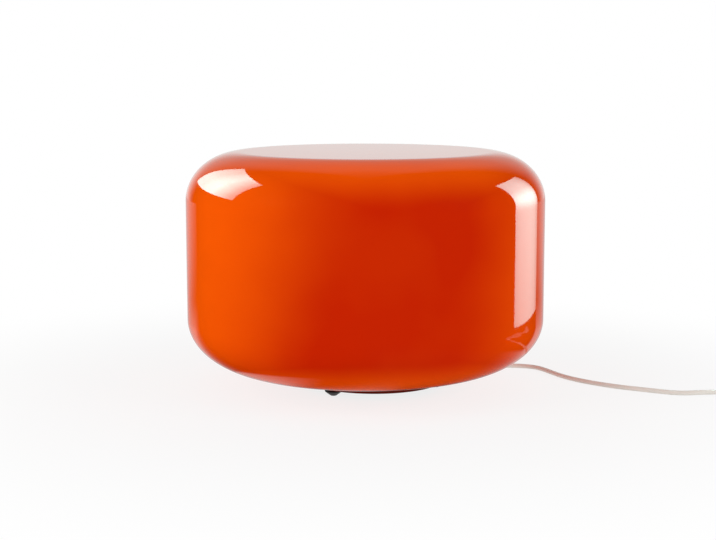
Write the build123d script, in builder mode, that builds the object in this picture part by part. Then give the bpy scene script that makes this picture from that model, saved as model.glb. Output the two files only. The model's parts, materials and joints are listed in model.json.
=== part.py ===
from build123d import *
import math
import os

# A glass table lamp: a blown glass drum that stands loose on a small pressed metal base.
# Millimetres, +Z up. The origin is on the glass drum's axis, at the table top.

os.makedirs("parts", exist_ok=True)

# Driving dimensions of the glass
GLASS_R = 200.0
GLASS_H = 245.0
GLASS_WALL = 4.0
GLASS_Z = 21.0
TOP_ROUND_W = 62.0
TOP_ROUND_H = 54.0
FOOT_ROUND_W = 83.0
FOOT_ROUND_H = 59.0
HAND_HOLE_R = 50.0
GLASS_EDGE = 1.2

# Driving dimensions of the base
BASE_X = 9.5
BASE_R = 79.8
RIM_Z = 7.1
SHEET = 2.0
DISH_TOP_Z = 19.0
SHOULDER_R = 75.5
BOSS_R = 40.0
BOSS_TOP_Z = 33.0
COVER_SHEET = 1.2
COVER_R = 76.6
COVER_Z = 7.2
SEAT_INNER_R = 44.5
SEAT_OUTER_R = 69.5
WEIGHT_INNER_R = 44.0
WEIGHT_OUTER_R = 67.0
RING_COUNT = 3
FOOT_CIRCLE_R = 71.0
FOOT_AZIMUTH = 231.0
FOOT_NAMES = ("foot_front", "foot_right", "foot_rear")
DISH_SCREW_CIRCLE_R = 56.0
DISH_SCREW_AZIMUTH = 171.0
COVER_SCREW_CIRCLE_R = 55.0
COVER_SCREW_AZIMUTH = 201.0

# Driving dimensions of the cord and of what is on it
CORD_R = 2.6
CORD_AZIMUTH = 33.0
CORD_EXIT_Z = 12.6
BUSH_END_R = 108.0
WIRE_R = 1.0
FIT_GAP = 0.05
LOOSE_GAP = 0.1

# Driving dimensions of the lamp holder and the bulb
NIPPLE_R = 5.0
NIPPLE_BORE_R = 3.6
HOLDER_Z = 36.0
HOLDER_R = 20.0
BULB_TIP_Z = 66.3
BULB_R = 30.0
BULB_LENGTH = 105.0

# The base's own axis stands a little to the right of the glass's, by the play of the loose glass
BASE_AXIS = Axis((BASE_X, 0, 0), (0, 0, 1))
BASE_SECTION = Plane(origin=(BASE_X, 0, 0), x_dir=(1, 0, 0), z_dir=(0, -1, 0))
exit_angle = math.radians(CORD_AZIMUTH)
EXIT_DIR = Vector(math.cos(exit_angle), math.sin(exit_angle), 0)
# A level plane on the base's axis whose x direction points along the cord's exit
CORD_LEVEL = Plane(origin=(BASE_X, 0, 0), x_dir=EXIT_DIR, z_dir=(0, 0, 1))
CORD_SIDE = Plane(origin=(BASE_X, 0, 0), x_dir=EXIT_DIR, z_dir=EXIT_DIR.cross(Vector(0, 0, 1)))
CORD_LINE = Axis((BASE_X, 0, CORD_EXIT_Z), EXIT_DIR)


def across_cord(distance, height=CORD_EXIT_Z):
    """A plane square to the cord's exit, this far out from the base's axis."""
    return Plane(
        origin=Vector(BASE_X, 0, height) + EXIT_DIR * distance, x_dir=(0, 0, 1), z_dir=EXIT_DIR
    )


def on_exit(along, aside, height):
    """A point given along and aside of the cord's exit direction."""
    return CORD_LEVEL.from_local_coords(Vector(along, aside, height))


def bundle(routes, bend, section_r=WIRE_R):
    """Round wires, each swept along straight runs joined by arcs, as one group."""
    with BuildPart() as wires:
        for route in routes:
            with BuildLine() as route_line:
                FilletPolyline(*route, radius=bend)
            path = route_line.wire()
            with BuildSketch(Plane(path @ 0, z_dir=path % 0)):
                Circle(section_r)
            sweep(path=path)
    return wires


def finish(piece, name):
    """Label a finished piece and write its file."""
    piece.part.label = name
    export_step(piece.part, f"parts/{name}.step")


# The glass drum: one closed blown shell with flat top, round shoulders and a hand hole below

glass_top = GLASS_Z + GLASS_H
foot_round_x = GLASS_R - FOOT_ROUND_W
foot_round_z = GLASS_Z + FOOT_ROUND_H
top_round_x = GLASS_R - TOP_ROUND_W
top_round_z = glass_top - TOP_ROUND_H

with BuildPart() as glass_diffuser:
    with BuildSketch(Plane.XZ):
        with BuildLine():
            Line((HAND_HOLE_R, GLASS_Z), (foot_round_x, GLASS_Z))
            EllipticalCenterArc(
                (foot_round_x, foot_round_z), FOOT_ROUND_W, FOOT_ROUND_H, start_angle=270, arc_size=90
            )
            Line((GLASS_R, foot_round_z), (GLASS_R, top_round_z))
            EllipticalCenterArc((top_round_x, top_round_z), TOP_ROUND_W, TOP_ROUND_H)
            Line((top_round_x, glass_top), (0, glass_top))
            Line((0, glass_top), (0, glass_top - GLASS_WALL))
            Line((0, glass_top - GLASS_WALL), (top_round_x, glass_top - GLASS_WALL))
            EllipticalCenterArc(
                (top_round_x, top_round_z), TOP_ROUND_W - GLASS_WALL, TOP_ROUND_H - GLASS_WALL
            )
            Line((GLASS_R - GLASS_WALL, top_round_z), (GLASS_R - GLASS_WALL, foot_round_z))
            EllipticalCenterArc(
                (foot_round_x, foot_round_z),
                FOOT_ROUND_W - GLASS_WALL,
                FOOT_ROUND_H - GLASS_WALL,
                start_angle=270,
                arc_size=90,
            )
            Line((foot_round_x, GLASS_Z + GLASS_WALL), (HAND_HOLE_R, GLASS_Z + GLASS_WALL))
            Line((HAND_HOLE_R, GLASS_Z + GLASS_WALL), (HAND_HOLE_R, GLASS_Z))
        make_face()
    revolve(axis=Axis.Z)
    hole_rims = glass_diffuser.edges().filter_by(GeomType.CIRCLE).sort_by(SortBy.RADIUS)[:2]
    fillet(hole_rims, radius=GLASS_EDGE)
finish(glass_diffuser, "glass_diffuser")


# The soft ring that the glass stands on

with BuildPart() as seat_ring:
    with BuildSketch(Plane((BASE_X, 0, DISH_TOP_Z))):
        Circle(SEAT_OUTER_R)
        Circle(SEAT_INNER_R, mode=Mode.SUBTRACT)
    extrude(amount=GLASS_Z - DISH_TOP_Z)
finish(seat_ring, "seat_ring")


# Screws, made once each and placed in rings

M4_R = 1.95
M4_CLEAR_R = 2.2
M4_TAP_R = M4_R + FIT_GAP
SUNK_HEAD_R = 3.9
DISH_SCREW_LENGTH = 8.0
PAN_HEAD_R = 3.8
PAN_HEAD_H = 2.2
PAN_HEAD_ROUND = 1.2
COVER_SCREW_LENGTH = 6.0
CROSS_LENGTH = 4.0
CROSS_WIDTH = 0.9
CROSS_DEPTH = 1.2

with BuildPart() as sunk_screw:
    with BuildSketch(Plane.XZ):
        with BuildLine():
            Polyline(
                (0, 0),
                (SUNK_HEAD_R, 0),
                (M4_R, M4_R - SUNK_HEAD_R),
                (M4_R, -DISH_SCREW_LENGTH),
                (0, -DISH_SCREW_LENGTH),
                close=True,
            )
        make_face()
    revolve(axis=Axis.Z)
    with BuildSketch(Plane.XY):
        Rectangle(CROSS_LENGTH, CROSS_WIDTH)
        Rectangle(CROSS_WIDTH, CROSS_LENGTH)
    extrude(amount=-CROSS_DEPTH, mode=Mode.SUBTRACT)

with BuildPart() as pan_screw:
    with BuildSketch(Plane.XY):
        Circle(PAN_HEAD_R)
    extrude(amount=-PAN_HEAD_H)
    fillet(pan_screw.edges().group_by(Axis.Z)[0], radius=PAN_HEAD_ROUND)
    with BuildSketch(Plane.XY):
        Circle(M4_R)
    extrude(amount=COVER_SCREW_LENGTH + COVER_SHEET)
    with BuildSketch(Plane.XY.offset(-PAN_HEAD_H)):
        Rectangle(CROSS_LENGTH, CROSS_WIDTH)
        Rectangle(CROSS_WIDTH, CROSS_LENGTH)
    extrude(amount=CROSS_DEPTH, mode=Mode.SUBTRACT)


def screw_ring(screw, height, circle_r, azimuth):
    """Three like screws as one group of separate solids on the base's axis."""
    with BuildPart() as ring:
        with Locations(Plane((BASE_X, 0, height))):
            with PolarLocations(circle_r, RING_COUNT, start_angle=azimuth):
                add(screw.part)
    return ring


dish_screws = screw_ring(sunk_screw, DISH_TOP_Z, DISH_SCREW_CIRCLE_R, DISH_SCREW_AZIMUTH)
finish(dish_screws, "dish_screws")
cover_screws = screw_ring(pan_screw, COVER_Z, COVER_SCREW_CIRCLE_R, COVER_SCREW_AZIMUTH)
finish(cover_screws, "cover_screws")


# The pressed base dish, whose raised middle keeps the glass in place and carries the lamp holder

BUSH_NECK_R = 4.4
NIPPLE_HOLE_R = NIPPLE_R + LOOSE_GAP
RIM_EDGE = 0.7
WALL_R = 78.0
DISH_ROUNDS = (4.0, 2.5, 6.0)

with BuildPart() as base_dish:
    with BuildSketch(BASE_SECTION):
        with BuildLine():
            skin = FilletPolyline(
                (NIPPLE_HOLE_R, BOSS_TOP_Z),
                (BOSS_R, BOSS_TOP_Z),
                (BOSS_R, DISH_TOP_Z),
                (SHOULDER_R, DISH_TOP_Z),
                (BASE_R, RIM_Z),
                radius=DISH_ROUNDS,
            )
            offset(skin, amount=SHEET, side=Side.RIGHT, closed=True)
        make_face()
    revolve(axis=BASE_AXIS)
    fillet(base_dish.edges().group_by(Axis.Z)[0], radius=RIM_EDGE)
    with BuildSketch(across_cord(WALL_R)):
        Circle(BUSH_NECK_R)
    extrude(amount=2 * SHEET, both=True, mode=Mode.SUBTRACT)
    with Locations(Plane((BASE_X, 0, DISH_TOP_Z))):
        with PolarLocations(DISH_SCREW_CIRCLE_R, RING_COUNT, start_angle=DISH_SCREW_AZIMUTH):
            CounterSinkHole(M4_R + FIT_GAP, SUNK_HEAD_R + FIT_GAP, depth=3 * SHEET, counter_sink_angle=90)
finish(base_dish, "base_dish")


# The iron weight under the dish, with a channel for the cord

WEIGHT_Z = COVER_Z + COVER_SHEET
WEIGHT_TOP = DISH_TOP_Z - SHEET
WEIGHT_EDGE = 1.0
CHANNEL_W = 8.0
CHANNEL_TOP = CORD_EXIT_Z + CORD_R + 0.6

with BuildPart() as base_weight:
    with BuildSketch(Plane((BASE_X, 0, WEIGHT_Z))):
        Circle(WEIGHT_OUTER_R)
        Circle(WEIGHT_INNER_R, mode=Mode.SUBTRACT)
    extrude(amount=WEIGHT_TOP - WEIGHT_Z)
    chamfer(base_weight.edges().filter_by(GeomType.CIRCLE), length=WEIGHT_EDGE)
    with BuildSketch(CORD_LEVEL.offset(WEIGHT_Z)):
        with Locations(((WEIGHT_INNER_R + WEIGHT_OUTER_R) / 2, 0)):
            Rectangle(1.5 * (WEIGHT_OUTER_R - WEIGHT_INNER_R), CHANNEL_W)
    extrude(amount=CHANNEL_TOP - WEIGHT_Z, mode=Mode.SUBTRACT)
    with Locations(Plane((BASE_X, 0, WEIGHT_TOP))):
        with PolarLocations(DISH_SCREW_CIRCLE_R, RING_COUNT, start_angle=DISH_SCREW_AZIMUTH):
            Hole(M4_TAP_R, depth=DISH_SCREW_LENGTH - SHEET + LOOSE_GAP)
        with PolarLocations(COVER_SCREW_CIRCLE_R, RING_COUNT, start_angle=COVER_SCREW_AZIMUTH):
            Hole(M4_TAP_R)
finish(base_weight, "base_weight")


# The flat cover that closes the base from below

STEM_R = 2.9
CLAMP_ALONG = 30.0
CLAMP_SCREW_ASIDE = 7.5
M3_R = 1.45
NOTCH_W = 14.0

with BuildPart() as bottom_cover:
    with BuildSketch(Plane((BASE_X, 0, COVER_Z))):
        Circle(COVER_R)
        with PolarLocations(COVER_SCREW_CIRCLE_R, RING_COUNT, start_angle=COVER_SCREW_AZIMUTH):
            Circle(M4_CLEAR_R, mode=Mode.SUBTRACT)
        with PolarLocations(FOOT_CIRCLE_R, RING_COUNT, start_angle=FOOT_AZIMUTH):
            Circle(STEM_R + LOOSE_GAP, mode=Mode.SUBTRACT)
    extrude(amount=COVER_SHEET)
    with BuildSketch(CORD_LEVEL.offset(COVER_Z)):
        with Locations((COVER_R, 0)):
            Rectangle(2 * (COVER_R - FOOT_CIRCLE_R), NOTCH_W)
        with Locations((CLAMP_ALONG, CLAMP_SCREW_ASIDE), (CLAMP_ALONG, -CLAMP_SCREW_ASIDE)):
            Circle(M3_R + FIT_GAP)
    extrude(amount=COVER_SHEET, mode=Mode.SUBTRACT)
finish(bottom_cover, "bottom_cover")


# Three tapered rubber feet, each pushed through the cover by its barbed stem

FOOT_TIP_R = 3.2
FOOT_TOP_R = 9.6
FOOT_SEAT_R = 5.0
FOOT_FLANK_Z = 4.6
FOOT_BRIM_Z = 5.9
BARB_R = 3.6
BARB_LIP = 0.5
BARB_TIP_R = 1.8
BARB_H = 2.4
FOOT_TIP_ROUND = 0.8
FOOT_BRIM_ROUND = 1.5

with BuildPart() as rubber_foot:
    with BuildSketch(Plane.XZ):
        with BuildLine():
            Line((0, 0), (FOOT_TIP_R, 0))
            Polyline(
                (FOOT_TIP_R, 0),
                (FOOT_TOP_R, FOOT_FLANK_Z),
                (FOOT_TOP_R, FOOT_BRIM_Z),
                (FOOT_SEAT_R, FOOT_BRIM_Z),
                (FOOT_SEAT_R, COVER_Z),
                (STEM_R, COVER_Z),
                (STEM_R, WEIGHT_Z),
                (BARB_R, WEIGHT_Z),
                (BARB_R, WEIGHT_Z + BARB_LIP),
                (BARB_TIP_R, WEIGHT_Z + BARB_H),
                (0, WEIGHT_Z + BARB_H),
                (0, 0),
            )
        make_face()
    revolve(axis=Axis.Z)
    fillet(rubber_foot.edges().filter_by(GeomType.CIRCLE).group_by(Axis.Z)[0], radius=FOOT_TIP_ROUND)
    fillet(rubber_foot.edges().filter_by_position(Axis.Z, FOOT_FLANK_Z, FOOT_FLANK_Z), radius=FOOT_BRIM_ROUND)

for turn, foot_name in enumerate(FOOT_NAMES):
    foot_angle = math.radians(FOOT_AZIMUTH + turn * 360 / RING_COUNT)
    foot_spot = (
        BASE_X + FOOT_CIRCLE_R * math.cos(foot_angle),
        FOOT_CIRCLE_R * math.sin(foot_angle),
        0,
    )
    with BuildPart() as one_foot:
        with Locations(foot_spot):
            add(rubber_foot.part)
    finish(one_foot, foot_name)


# The hollow threaded tube, its nuts and lock washer

NUT_R = 8.1
NUT_H = 3.0
WASHER_H = 0.8
WASHER_TEETH = 12
TOOTH_R = 1.2
TUBE_EDGE = 0.4
NIPPLE_BOTTOM = 23.0
NIPPLE_TOP = 46.0
BOSS_UNDER = BOSS_TOP_Z - SHEET

with BuildPart() as threaded_tube:
    with BuildSketch(Plane((BASE_X, 0, NIPPLE_BOTTOM))):
        Circle(NIPPLE_R)
        Circle(NIPPLE_BORE_R, mode=Mode.SUBTRACT)
    extrude(amount=NIPPLE_TOP - NIPPLE_BOTTOM)
    chamfer(threaded_tube.edges().filter_by(GeomType.CIRCLE), length=TUBE_EDGE)
finish(threaded_tube, "threaded_tube")

with BuildPart() as lock_washer:
    with BuildSketch(Plane((BASE_X, 0, BOSS_UNDER - WASHER_H))):
        Circle(NUT_R)
        Circle(NIPPLE_HOLE_R, mode=Mode.SUBTRACT)
        with PolarLocations(NUT_R, WASHER_TEETH):
            RegularPolygon(radius=TOOTH_R, side_count=3, mode=Mode.SUBTRACT)
    extrude(amount=WASHER_H)
finish(lock_washer, "lock_washer")


def hex_nut(height):
    """A flat hexagon nut on the base's axis, with its lower face at this height."""
    with BuildPart() as nut:
        with BuildSketch(Plane((BASE_X, 0, height))):
            RegularPolygon(radius=NUT_R, side_count=6)
            Circle(NIPPLE_R + FIT_GAP, mode=Mode.SUBTRACT)
        extrude(amount=NUT_H)
    return nut


lower_nut = hex_nut(BOSS_UNDER - WASHER_H - NUT_H)
finish(lower_nut, "lower_nut")
upper_nut = hex_nut(BOSS_TOP_Z)
finish(upper_nut, "upper_nut")


# The lamp holder: cap below, insert that carries the contacts, and outer shell

CAP_R = 19.0
CAP_NECK_R = 8.0
CAP_NECK_TOP = 41.0
CAP_DOME_TOP = 52.0
CAP_DOME_SLOPE = 0.35
CAP_INSIDE_R = 15.4
CAP_INSIDE_Z = 51.0
CAP_FLOOR_R = 7.0
CAP_FLOOR_Z = 44.0
CAP_RIM_Z = 60.0
INSERT_FLANGE_H = 2.0
INSERT_TOP_Z = CAP_RIM_Z + INSERT_FLANGE_H
INSERT_Z = 56.0
INSERT_R = 16.8
INSERT_FLANGE_R = 18.7
SHELL_TOP_Z = 92.0
SHELL_Z = 55.0
SHELL_EDGE = 2.0
SHELL_MOUTH_R = 15.2
SHELL_MOUTH_STEP = 3.0
SHELL_INSIDE_R = 17.8
GRIP_H = 8.0
GRIP_BAND = 0.8
GRIP_SLOPE_H = 1.0
FLUTE_COUNT = 24
FLUTE_R = 0.9
FLUTE_OUT = 1.3

with BuildPart() as holder_cap:
    with BuildSketch(BASE_SECTION):
        with BuildLine():
            Polyline((NIPPLE_R + LOOSE_GAP, HOLDER_Z), (CAP_NECK_R, HOLDER_Z), (CAP_NECK_R, CAP_NECK_TOP))
            outer_dome = TangentArc(
                (CAP_NECK_R, CAP_NECK_TOP), (CAP_R, CAP_DOME_TOP), tangent=(1, CAP_DOME_SLOPE)
            )
            Polyline(outer_dome @ 1, (CAP_R, CAP_RIM_Z), (INSERT_R + LOOSE_GAP, CAP_RIM_Z))
            Polyline(
                (INSERT_R + LOOSE_GAP, CAP_RIM_Z),
                (INSERT_R + LOOSE_GAP, INSERT_Z),
                (CAP_INSIDE_R, INSERT_Z),
                (CAP_INSIDE_R, CAP_INSIDE_Z),
                (CAP_FLOOR_R, CAP_FLOOR_Z),
                (NIPPLE_R + LOOSE_GAP, CAP_FLOOR_Z),
                (NIPPLE_R + LOOSE_GAP, HOLDER_Z),
            )
        make_face()
    revolve(axis=BASE_AXIS)
finish(holder_cap, "holder_cap")

TERMINAL_ASIDE = 9.0
TERMINAL_SIZE = 5.0
TERMINAL_Z = 50.0
RIVET_R = 1.4

with BuildPart() as holder_insert:
    with BuildSketch(Plane((BASE_X, 0, INSERT_Z))):
        Circle(INSERT_R)
    extrude(amount=INSERT_TOP_Z - INSERT_Z)
    with BuildSketch(Plane((BASE_X, 0, CAP_RIM_Z))):
        Circle(INSERT_FLANGE_R)
    extrude(amount=INSERT_FLANGE_H)
    with Locations(CORD_LEVEL.offset(INSERT_TOP_Z)):
        with Locations((0, TERMINAL_ASIDE), (0, -TERMINAL_ASIDE)):
            Hole(RIVET_R + FIT_GAP)
finish(holder_insert, "holder_insert")

with BuildPart() as holder_shell:
    with BuildSketch(BASE_SECTION):
        with BuildLine():
            Polyline(
                (CAP_R + LOOSE_GAP, SHELL_Z),
                (HOLDER_R + GRIP_BAND, SHELL_Z),
                (HOLDER_R + GRIP_BAND, SHELL_Z + GRIP_H),
                (HOLDER_R, SHELL_Z + GRIP_H + GRIP_SLOPE_H),
                (HOLDER_R, SHELL_TOP_Z - SHELL_EDGE),
                (HOLDER_R - SHELL_EDGE, SHELL_TOP_Z),
                (SHELL_MOUTH_R, SHELL_TOP_Z),
                (SHELL_MOUTH_R, SHELL_TOP_Z - SHELL_EDGE),
                (SHELL_INSIDE_R, SHELL_TOP_Z - SHELL_MOUTH_STEP),
                (SHELL_INSIDE_R, INSERT_TOP_Z),
                (CAP_R + LOOSE_GAP, INSERT_TOP_Z),
                close=True,
            )
        make_face()
    revolve(axis=BASE_AXIS)
    # Grip flutes round the shell's lower band
    with BuildSketch(Plane((BASE_X, 0, SHELL_Z))):
        with PolarLocations(HOLDER_R + FLUTE_OUT, FLUTE_COUNT):
            Circle(FLUTE_R)
    extrude(amount=GRIP_H, mode=Mode.SUBTRACT)
finish(holder_shell, "holder_shell")


def wave_points(low_r, high_r, bottom, pitch, count):
    """Corner and crest points of round thread ribs, from the bottom up."""
    spots = []
    for rib in range(count):
        foot = bottom + rib * pitch
        spots.append(((low_r, foot), (high_r, foot + pitch / 2), (low_r, foot + pitch)))
    return spots


THREAD_PITCH = 3.62
SLEEVE_RIBS = 6
SLEEVE_Z = INSERT_TOP_Z + 2.0
SLEEVE_TOP = SLEEVE_Z + SLEEVE_RIBS * THREAD_PITCH
SLEEVE_OUTER_R = 15.0
SLEEVE_LOW_R = 13.5
SLEEVE_HIGH_R = 14.3
SLEEVE_FLOOR_R = 7.0
SLEEVE_SHEET = 0.6
RIVET_CUT = 8.0

with BuildPart() as thread_sleeve:
    with BuildSketch(BASE_SECTION):
        with BuildLine():
            for rib in wave_points(SLEEVE_LOW_R, SLEEVE_HIGH_R, SLEEVE_Z, THREAD_PITCH, SLEEVE_RIBS):
                ThreePointArc(*rib)
            Polyline(
                (SLEEVE_LOW_R, SLEEVE_TOP),
                (SLEEVE_OUTER_R, SLEEVE_TOP),
                (SLEEVE_OUTER_R, INSERT_TOP_Z),
                (SLEEVE_FLOOR_R, INSERT_TOP_Z),
                (SLEEVE_FLOOR_R, INSERT_TOP_Z + SLEEVE_SHEET),
                (SLEEVE_LOW_R, INSERT_TOP_Z + SLEEVE_SHEET),
                (SLEEVE_LOW_R, SLEEVE_Z),
            )
        make_face()
    revolve(axis=BASE_AXIS)
    with BuildSketch(CORD_LEVEL.offset(INSERT_TOP_Z)):
        with Locations((0, -RIVET_CUT)):
            Rectangle(RIVET_CUT, RIVET_CUT)
    extrude(amount=SLEEVE_SHEET, mode=Mode.SUBTRACT)
    with Locations(CORD_LEVEL.offset(SLEEVE_TOP)):
        with Locations((0, TERMINAL_ASIDE)):
            Hole(RIVET_R + FIT_GAP)
finish(thread_sleeve, "thread_sleeve")

CONTACT_SHEET = 0.6
CONTACT_W = 5.0
CONTACT_FAR = -11.0
CONTACT_BEND = -3.0
CONTACT_CREST = (2.2, 3.2)
CONTACT_END = (4.8, 2.2)
CONTACT_ROUND = 1.0
# A plane across the exit direction, for the strip that runs from its rivet to the middle
ASIDE_SECTION = Plane(origin=(BASE_X, 0, 0), x_dir=Vector(0, 0, 1).cross(EXIT_DIR), z_dir=EXIT_DIR)

with BuildPart() as centre_contact:
    with BuildSketch(ASIDE_SECTION):
        with BuildLine():
            strip = FilletPolyline(
                (CONTACT_FAR, INSERT_TOP_Z),
                (CONTACT_BEND, INSERT_TOP_Z),
                (CONTACT_CREST[0], INSERT_TOP_Z + CONTACT_CREST[1]),
                (CONTACT_END[0], INSERT_TOP_Z + CONTACT_END[1]),
                radius=CONTACT_ROUND,
            )
            offset(strip, amount=CONTACT_SHEET, side=Side.LEFT, closed=True)
        make_face()
    extrude(amount=CONTACT_W / 2, both=True)
    with Locations(CORD_LEVEL.offset(INSERT_TOP_Z + 1)):
        with Locations((0, -TERMINAL_ASIDE)):
            Hole(RIVET_R + FIT_GAP, depth=2.0)
finish(centre_contact, "centre_contact")

RIVET_TOP_Z = INSERT_TOP_Z + CONTACT_SHEET
RIVET_HEAD_R = 2.3
RIVET_HEAD_H = 0.7
with BuildPart() as holder_rivets:
    with BuildSketch(CORD_LEVEL.offset(INSERT_Z)):
        with Locations((0, TERMINAL_ASIDE), (0, -TERMINAL_ASIDE)):
            Circle(RIVET_R)
    extrude(amount=RIVET_TOP_Z - INSERT_Z)
    with BuildSketch(CORD_LEVEL.offset(RIVET_TOP_Z)):
        with Locations((0, TERMINAL_ASIDE), (0, -TERMINAL_ASIDE)):
            Circle(RIVET_HEAD_R)
    extrude(amount=RIVET_HEAD_H)
finish(holder_rivets, "holder_rivets")

HOLDER_WIRE_END = 52.6
GRUB_Z = 51.6
GRUB_R = 1.2
GRUB_LENGTH = 1.6
GRUB_HEAD_R = 1.9
GRUB_HEAD_H = 1.4
WIRE_END_GAP = 0.2
with BuildPart() as holder_terminals:
    with BuildSketch(CORD_LEVEL.offset(TERMINAL_Z)):
        with Locations((0, TERMINAL_ASIDE), (0, -TERMINAL_ASIDE)):
            Rectangle(TERMINAL_SIZE, TERMINAL_SIZE)
    extrude(amount=INSERT_Z - TERMINAL_Z)
    with BuildSketch(CORD_LEVEL.offset(TERMINAL_Z)):
        with Locations((0, TERMINAL_ASIDE), (0, -TERMINAL_ASIDE)):
            Circle(WIRE_R + FIT_GAP)
    extrude(amount=HOLDER_WIRE_END - TERMINAL_Z + WIRE_END_GAP, mode=Mode.SUBTRACT)
    with BuildSketch(Plane(origin=on_exit(0, 0, GRUB_Z), x_dir=(0, 0, 1), z_dir=EXIT_DIR)):
        with Locations((0, TERMINAL_ASIDE), (0, -TERMINAL_ASIDE)):
            Circle(GRUB_R + FIT_GAP)
    extrude(amount=TERMINAL_SIZE, mode=Mode.SUBTRACT)
finish(holder_terminals, "holder_terminals")

with BuildPart() as holder_terminal_screws:
    with BuildSketch(Plane(origin=on_exit(WIRE_R + LOOSE_GAP, 0, GRUB_Z), x_dir=(0, 0, 1), z_dir=EXIT_DIR)):
        with Locations((0, TERMINAL_ASIDE), (0, -TERMINAL_ASIDE)):
            Circle(GRUB_R)
    extrude(amount=GRUB_LENGTH)
    with BuildSketch(Plane(origin=on_exit(TERMINAL_SIZE / 2, 0, GRUB_Z), x_dir=(0, 0, 1), z_dir=EXIT_DIR)):
        with Locations((0, TERMINAL_ASIDE), (0, -TERMINAL_ASIDE)):
            Circle(GRUB_HEAD_R)
    extrude(amount=GRUB_HEAD_H)
finish(holder_terminal_screws, "holder_terminal_screws")


# The bulb: glass envelope, screw cap, insulator, tip, stem and filament

CAP_BOTTOM_Z = 69.0
CAP_RIBS = 5
CAP_END_H = 1.5
ribs_bottom = CAP_BOTTOM_Z + CAP_END_H
CAP_RIBS_TOP = ribs_bottom + CAP_RIBS * THREAD_PITCH
CAP_TOP_Z = 93.0
CAP_INNER_R = 11.9
CAP_LOW_R = 12.4
CAP_HIGH_R = 13.1
CAP_END_R = 11.0
CAP_END_INNER_R = 10.4
CAP_COLLAR_R = 12.6
CAP_MOUTH_R = 13.6
CAP_MOUTH_INNER_R = 13.2
CAP_MOUTH_H = 2.0
CAP_MOUTH_INNER_H = 2.5
bulb_top_z = BULB_TIP_Z + BULB_LENGTH
bulb_centre_z = bulb_top_z - BULB_R

with BuildPart() as bulb_cap:
    with BuildSketch(BASE_SECTION):
        with BuildLine():
            Line((CAP_END_R, CAP_BOTTOM_Z), (CAP_LOW_R, ribs_bottom))
            for rib in wave_points(CAP_LOW_R, CAP_HIGH_R, ribs_bottom, THREAD_PITCH, CAP_RIBS):
                ThreePointArc(*rib)
            Polyline(
                (CAP_LOW_R, CAP_RIBS_TOP),
                (CAP_COLLAR_R, CAP_TOP_Z - CAP_MOUTH_H),
                (CAP_MOUTH_R, CAP_TOP_Z),
                (CAP_MOUTH_INNER_R, CAP_TOP_Z),
                (CAP_INNER_R, CAP_TOP_Z - CAP_MOUTH_INNER_H),
                (CAP_INNER_R, ribs_bottom),
                (CAP_END_INNER_R, CAP_BOTTOM_Z),
                (CAP_END_R, CAP_BOTTOM_Z),
            )
        make_face()
    revolve(axis=BASE_AXIS)
finish(bulb_cap, "bulb_cap")

TIP_R = 4.7
TIP_SHOULDER_R = 2.8
TIP_SHOULDER_H = 0.35
TIP_DOME_TOP = 67.3
SEAL_INNER_Z = 67.2
SEAL_OUTER_R = 9.2
SEAL_OUTER_Z = 67.9
SEAL_STEP_H = 0.2
SEAL_H = 1.6
with BuildPart() as bulb_insulator:
    with BuildSketch(BASE_SECTION):
        with BuildLine():
            Polyline(
                (TIP_R, SEAL_INNER_Z),
                (SEAL_OUTER_R, SEAL_OUTER_Z),
                (CAP_END_INNER_R, CAP_BOTTOM_Z),
                (CAP_INNER_R - LOOSE_GAP, ribs_bottom + SEAL_STEP_H),
                (CAP_INNER_R - LOOSE_GAP, ribs_bottom + SEAL_H),
                (TIP_R, ribs_bottom + SEAL_H),
                close=True,
            )
        make_face()
    revolve(axis=BASE_AXIS)
finish(bulb_insulator, "bulb_insulator")

with BuildPart() as bulb_tip:
    with BuildSketch(BASE_SECTION):
        with BuildLine():
            tip_shoulder = (TIP_SHOULDER_R, BULB_TIP_Z + TIP_SHOULDER_H)
            dome = ThreePointArc((0, BULB_TIP_Z), tip_shoulder, (TIP_R - LOOSE_GAP, TIP_DOME_TOP))
            Polyline(dome @ 1, (TIP_R - LOOSE_GAP, ribs_bottom), (0, ribs_bottom), (0, BULB_TIP_Z))
        make_face()
    revolve(axis=BASE_AXIS)
finish(bulb_tip, "bulb_tip")

NECK_R = 11.6
NECK_Z = 83.0
BULB_WALL = 1.0
FLARE_Z = 92.0
FLARE_MIDDLE = (15.0, 104.0)
INNER_FLARE_MIDDLE = (14.0, 104.2)
FLARE_LEAN = 0.1
BELLY_START_DEGREES = -40
BELLY_SIDE_DEGREES = 25
belly_angle = math.radians(BELLY_START_DEGREES)
belly_start = (BULB_R * math.cos(belly_angle), bulb_centre_z + BULB_R * math.sin(belly_angle))
belly_tangent = (-math.sin(belly_angle), math.cos(belly_angle))
inner_belly_r = BULB_R - BULB_WALL
inner_belly_start = (
    inner_belly_r * math.cos(belly_angle),
    bulb_centre_z + inner_belly_r * math.sin(belly_angle),
)
side_angle = math.radians(BELLY_SIDE_DEGREES)


def on_belly(radius, angle):
    """A point on the bulb's round part, in its half section."""
    return (radius * math.cos(angle), bulb_centre_z + radius * math.sin(angle))


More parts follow.
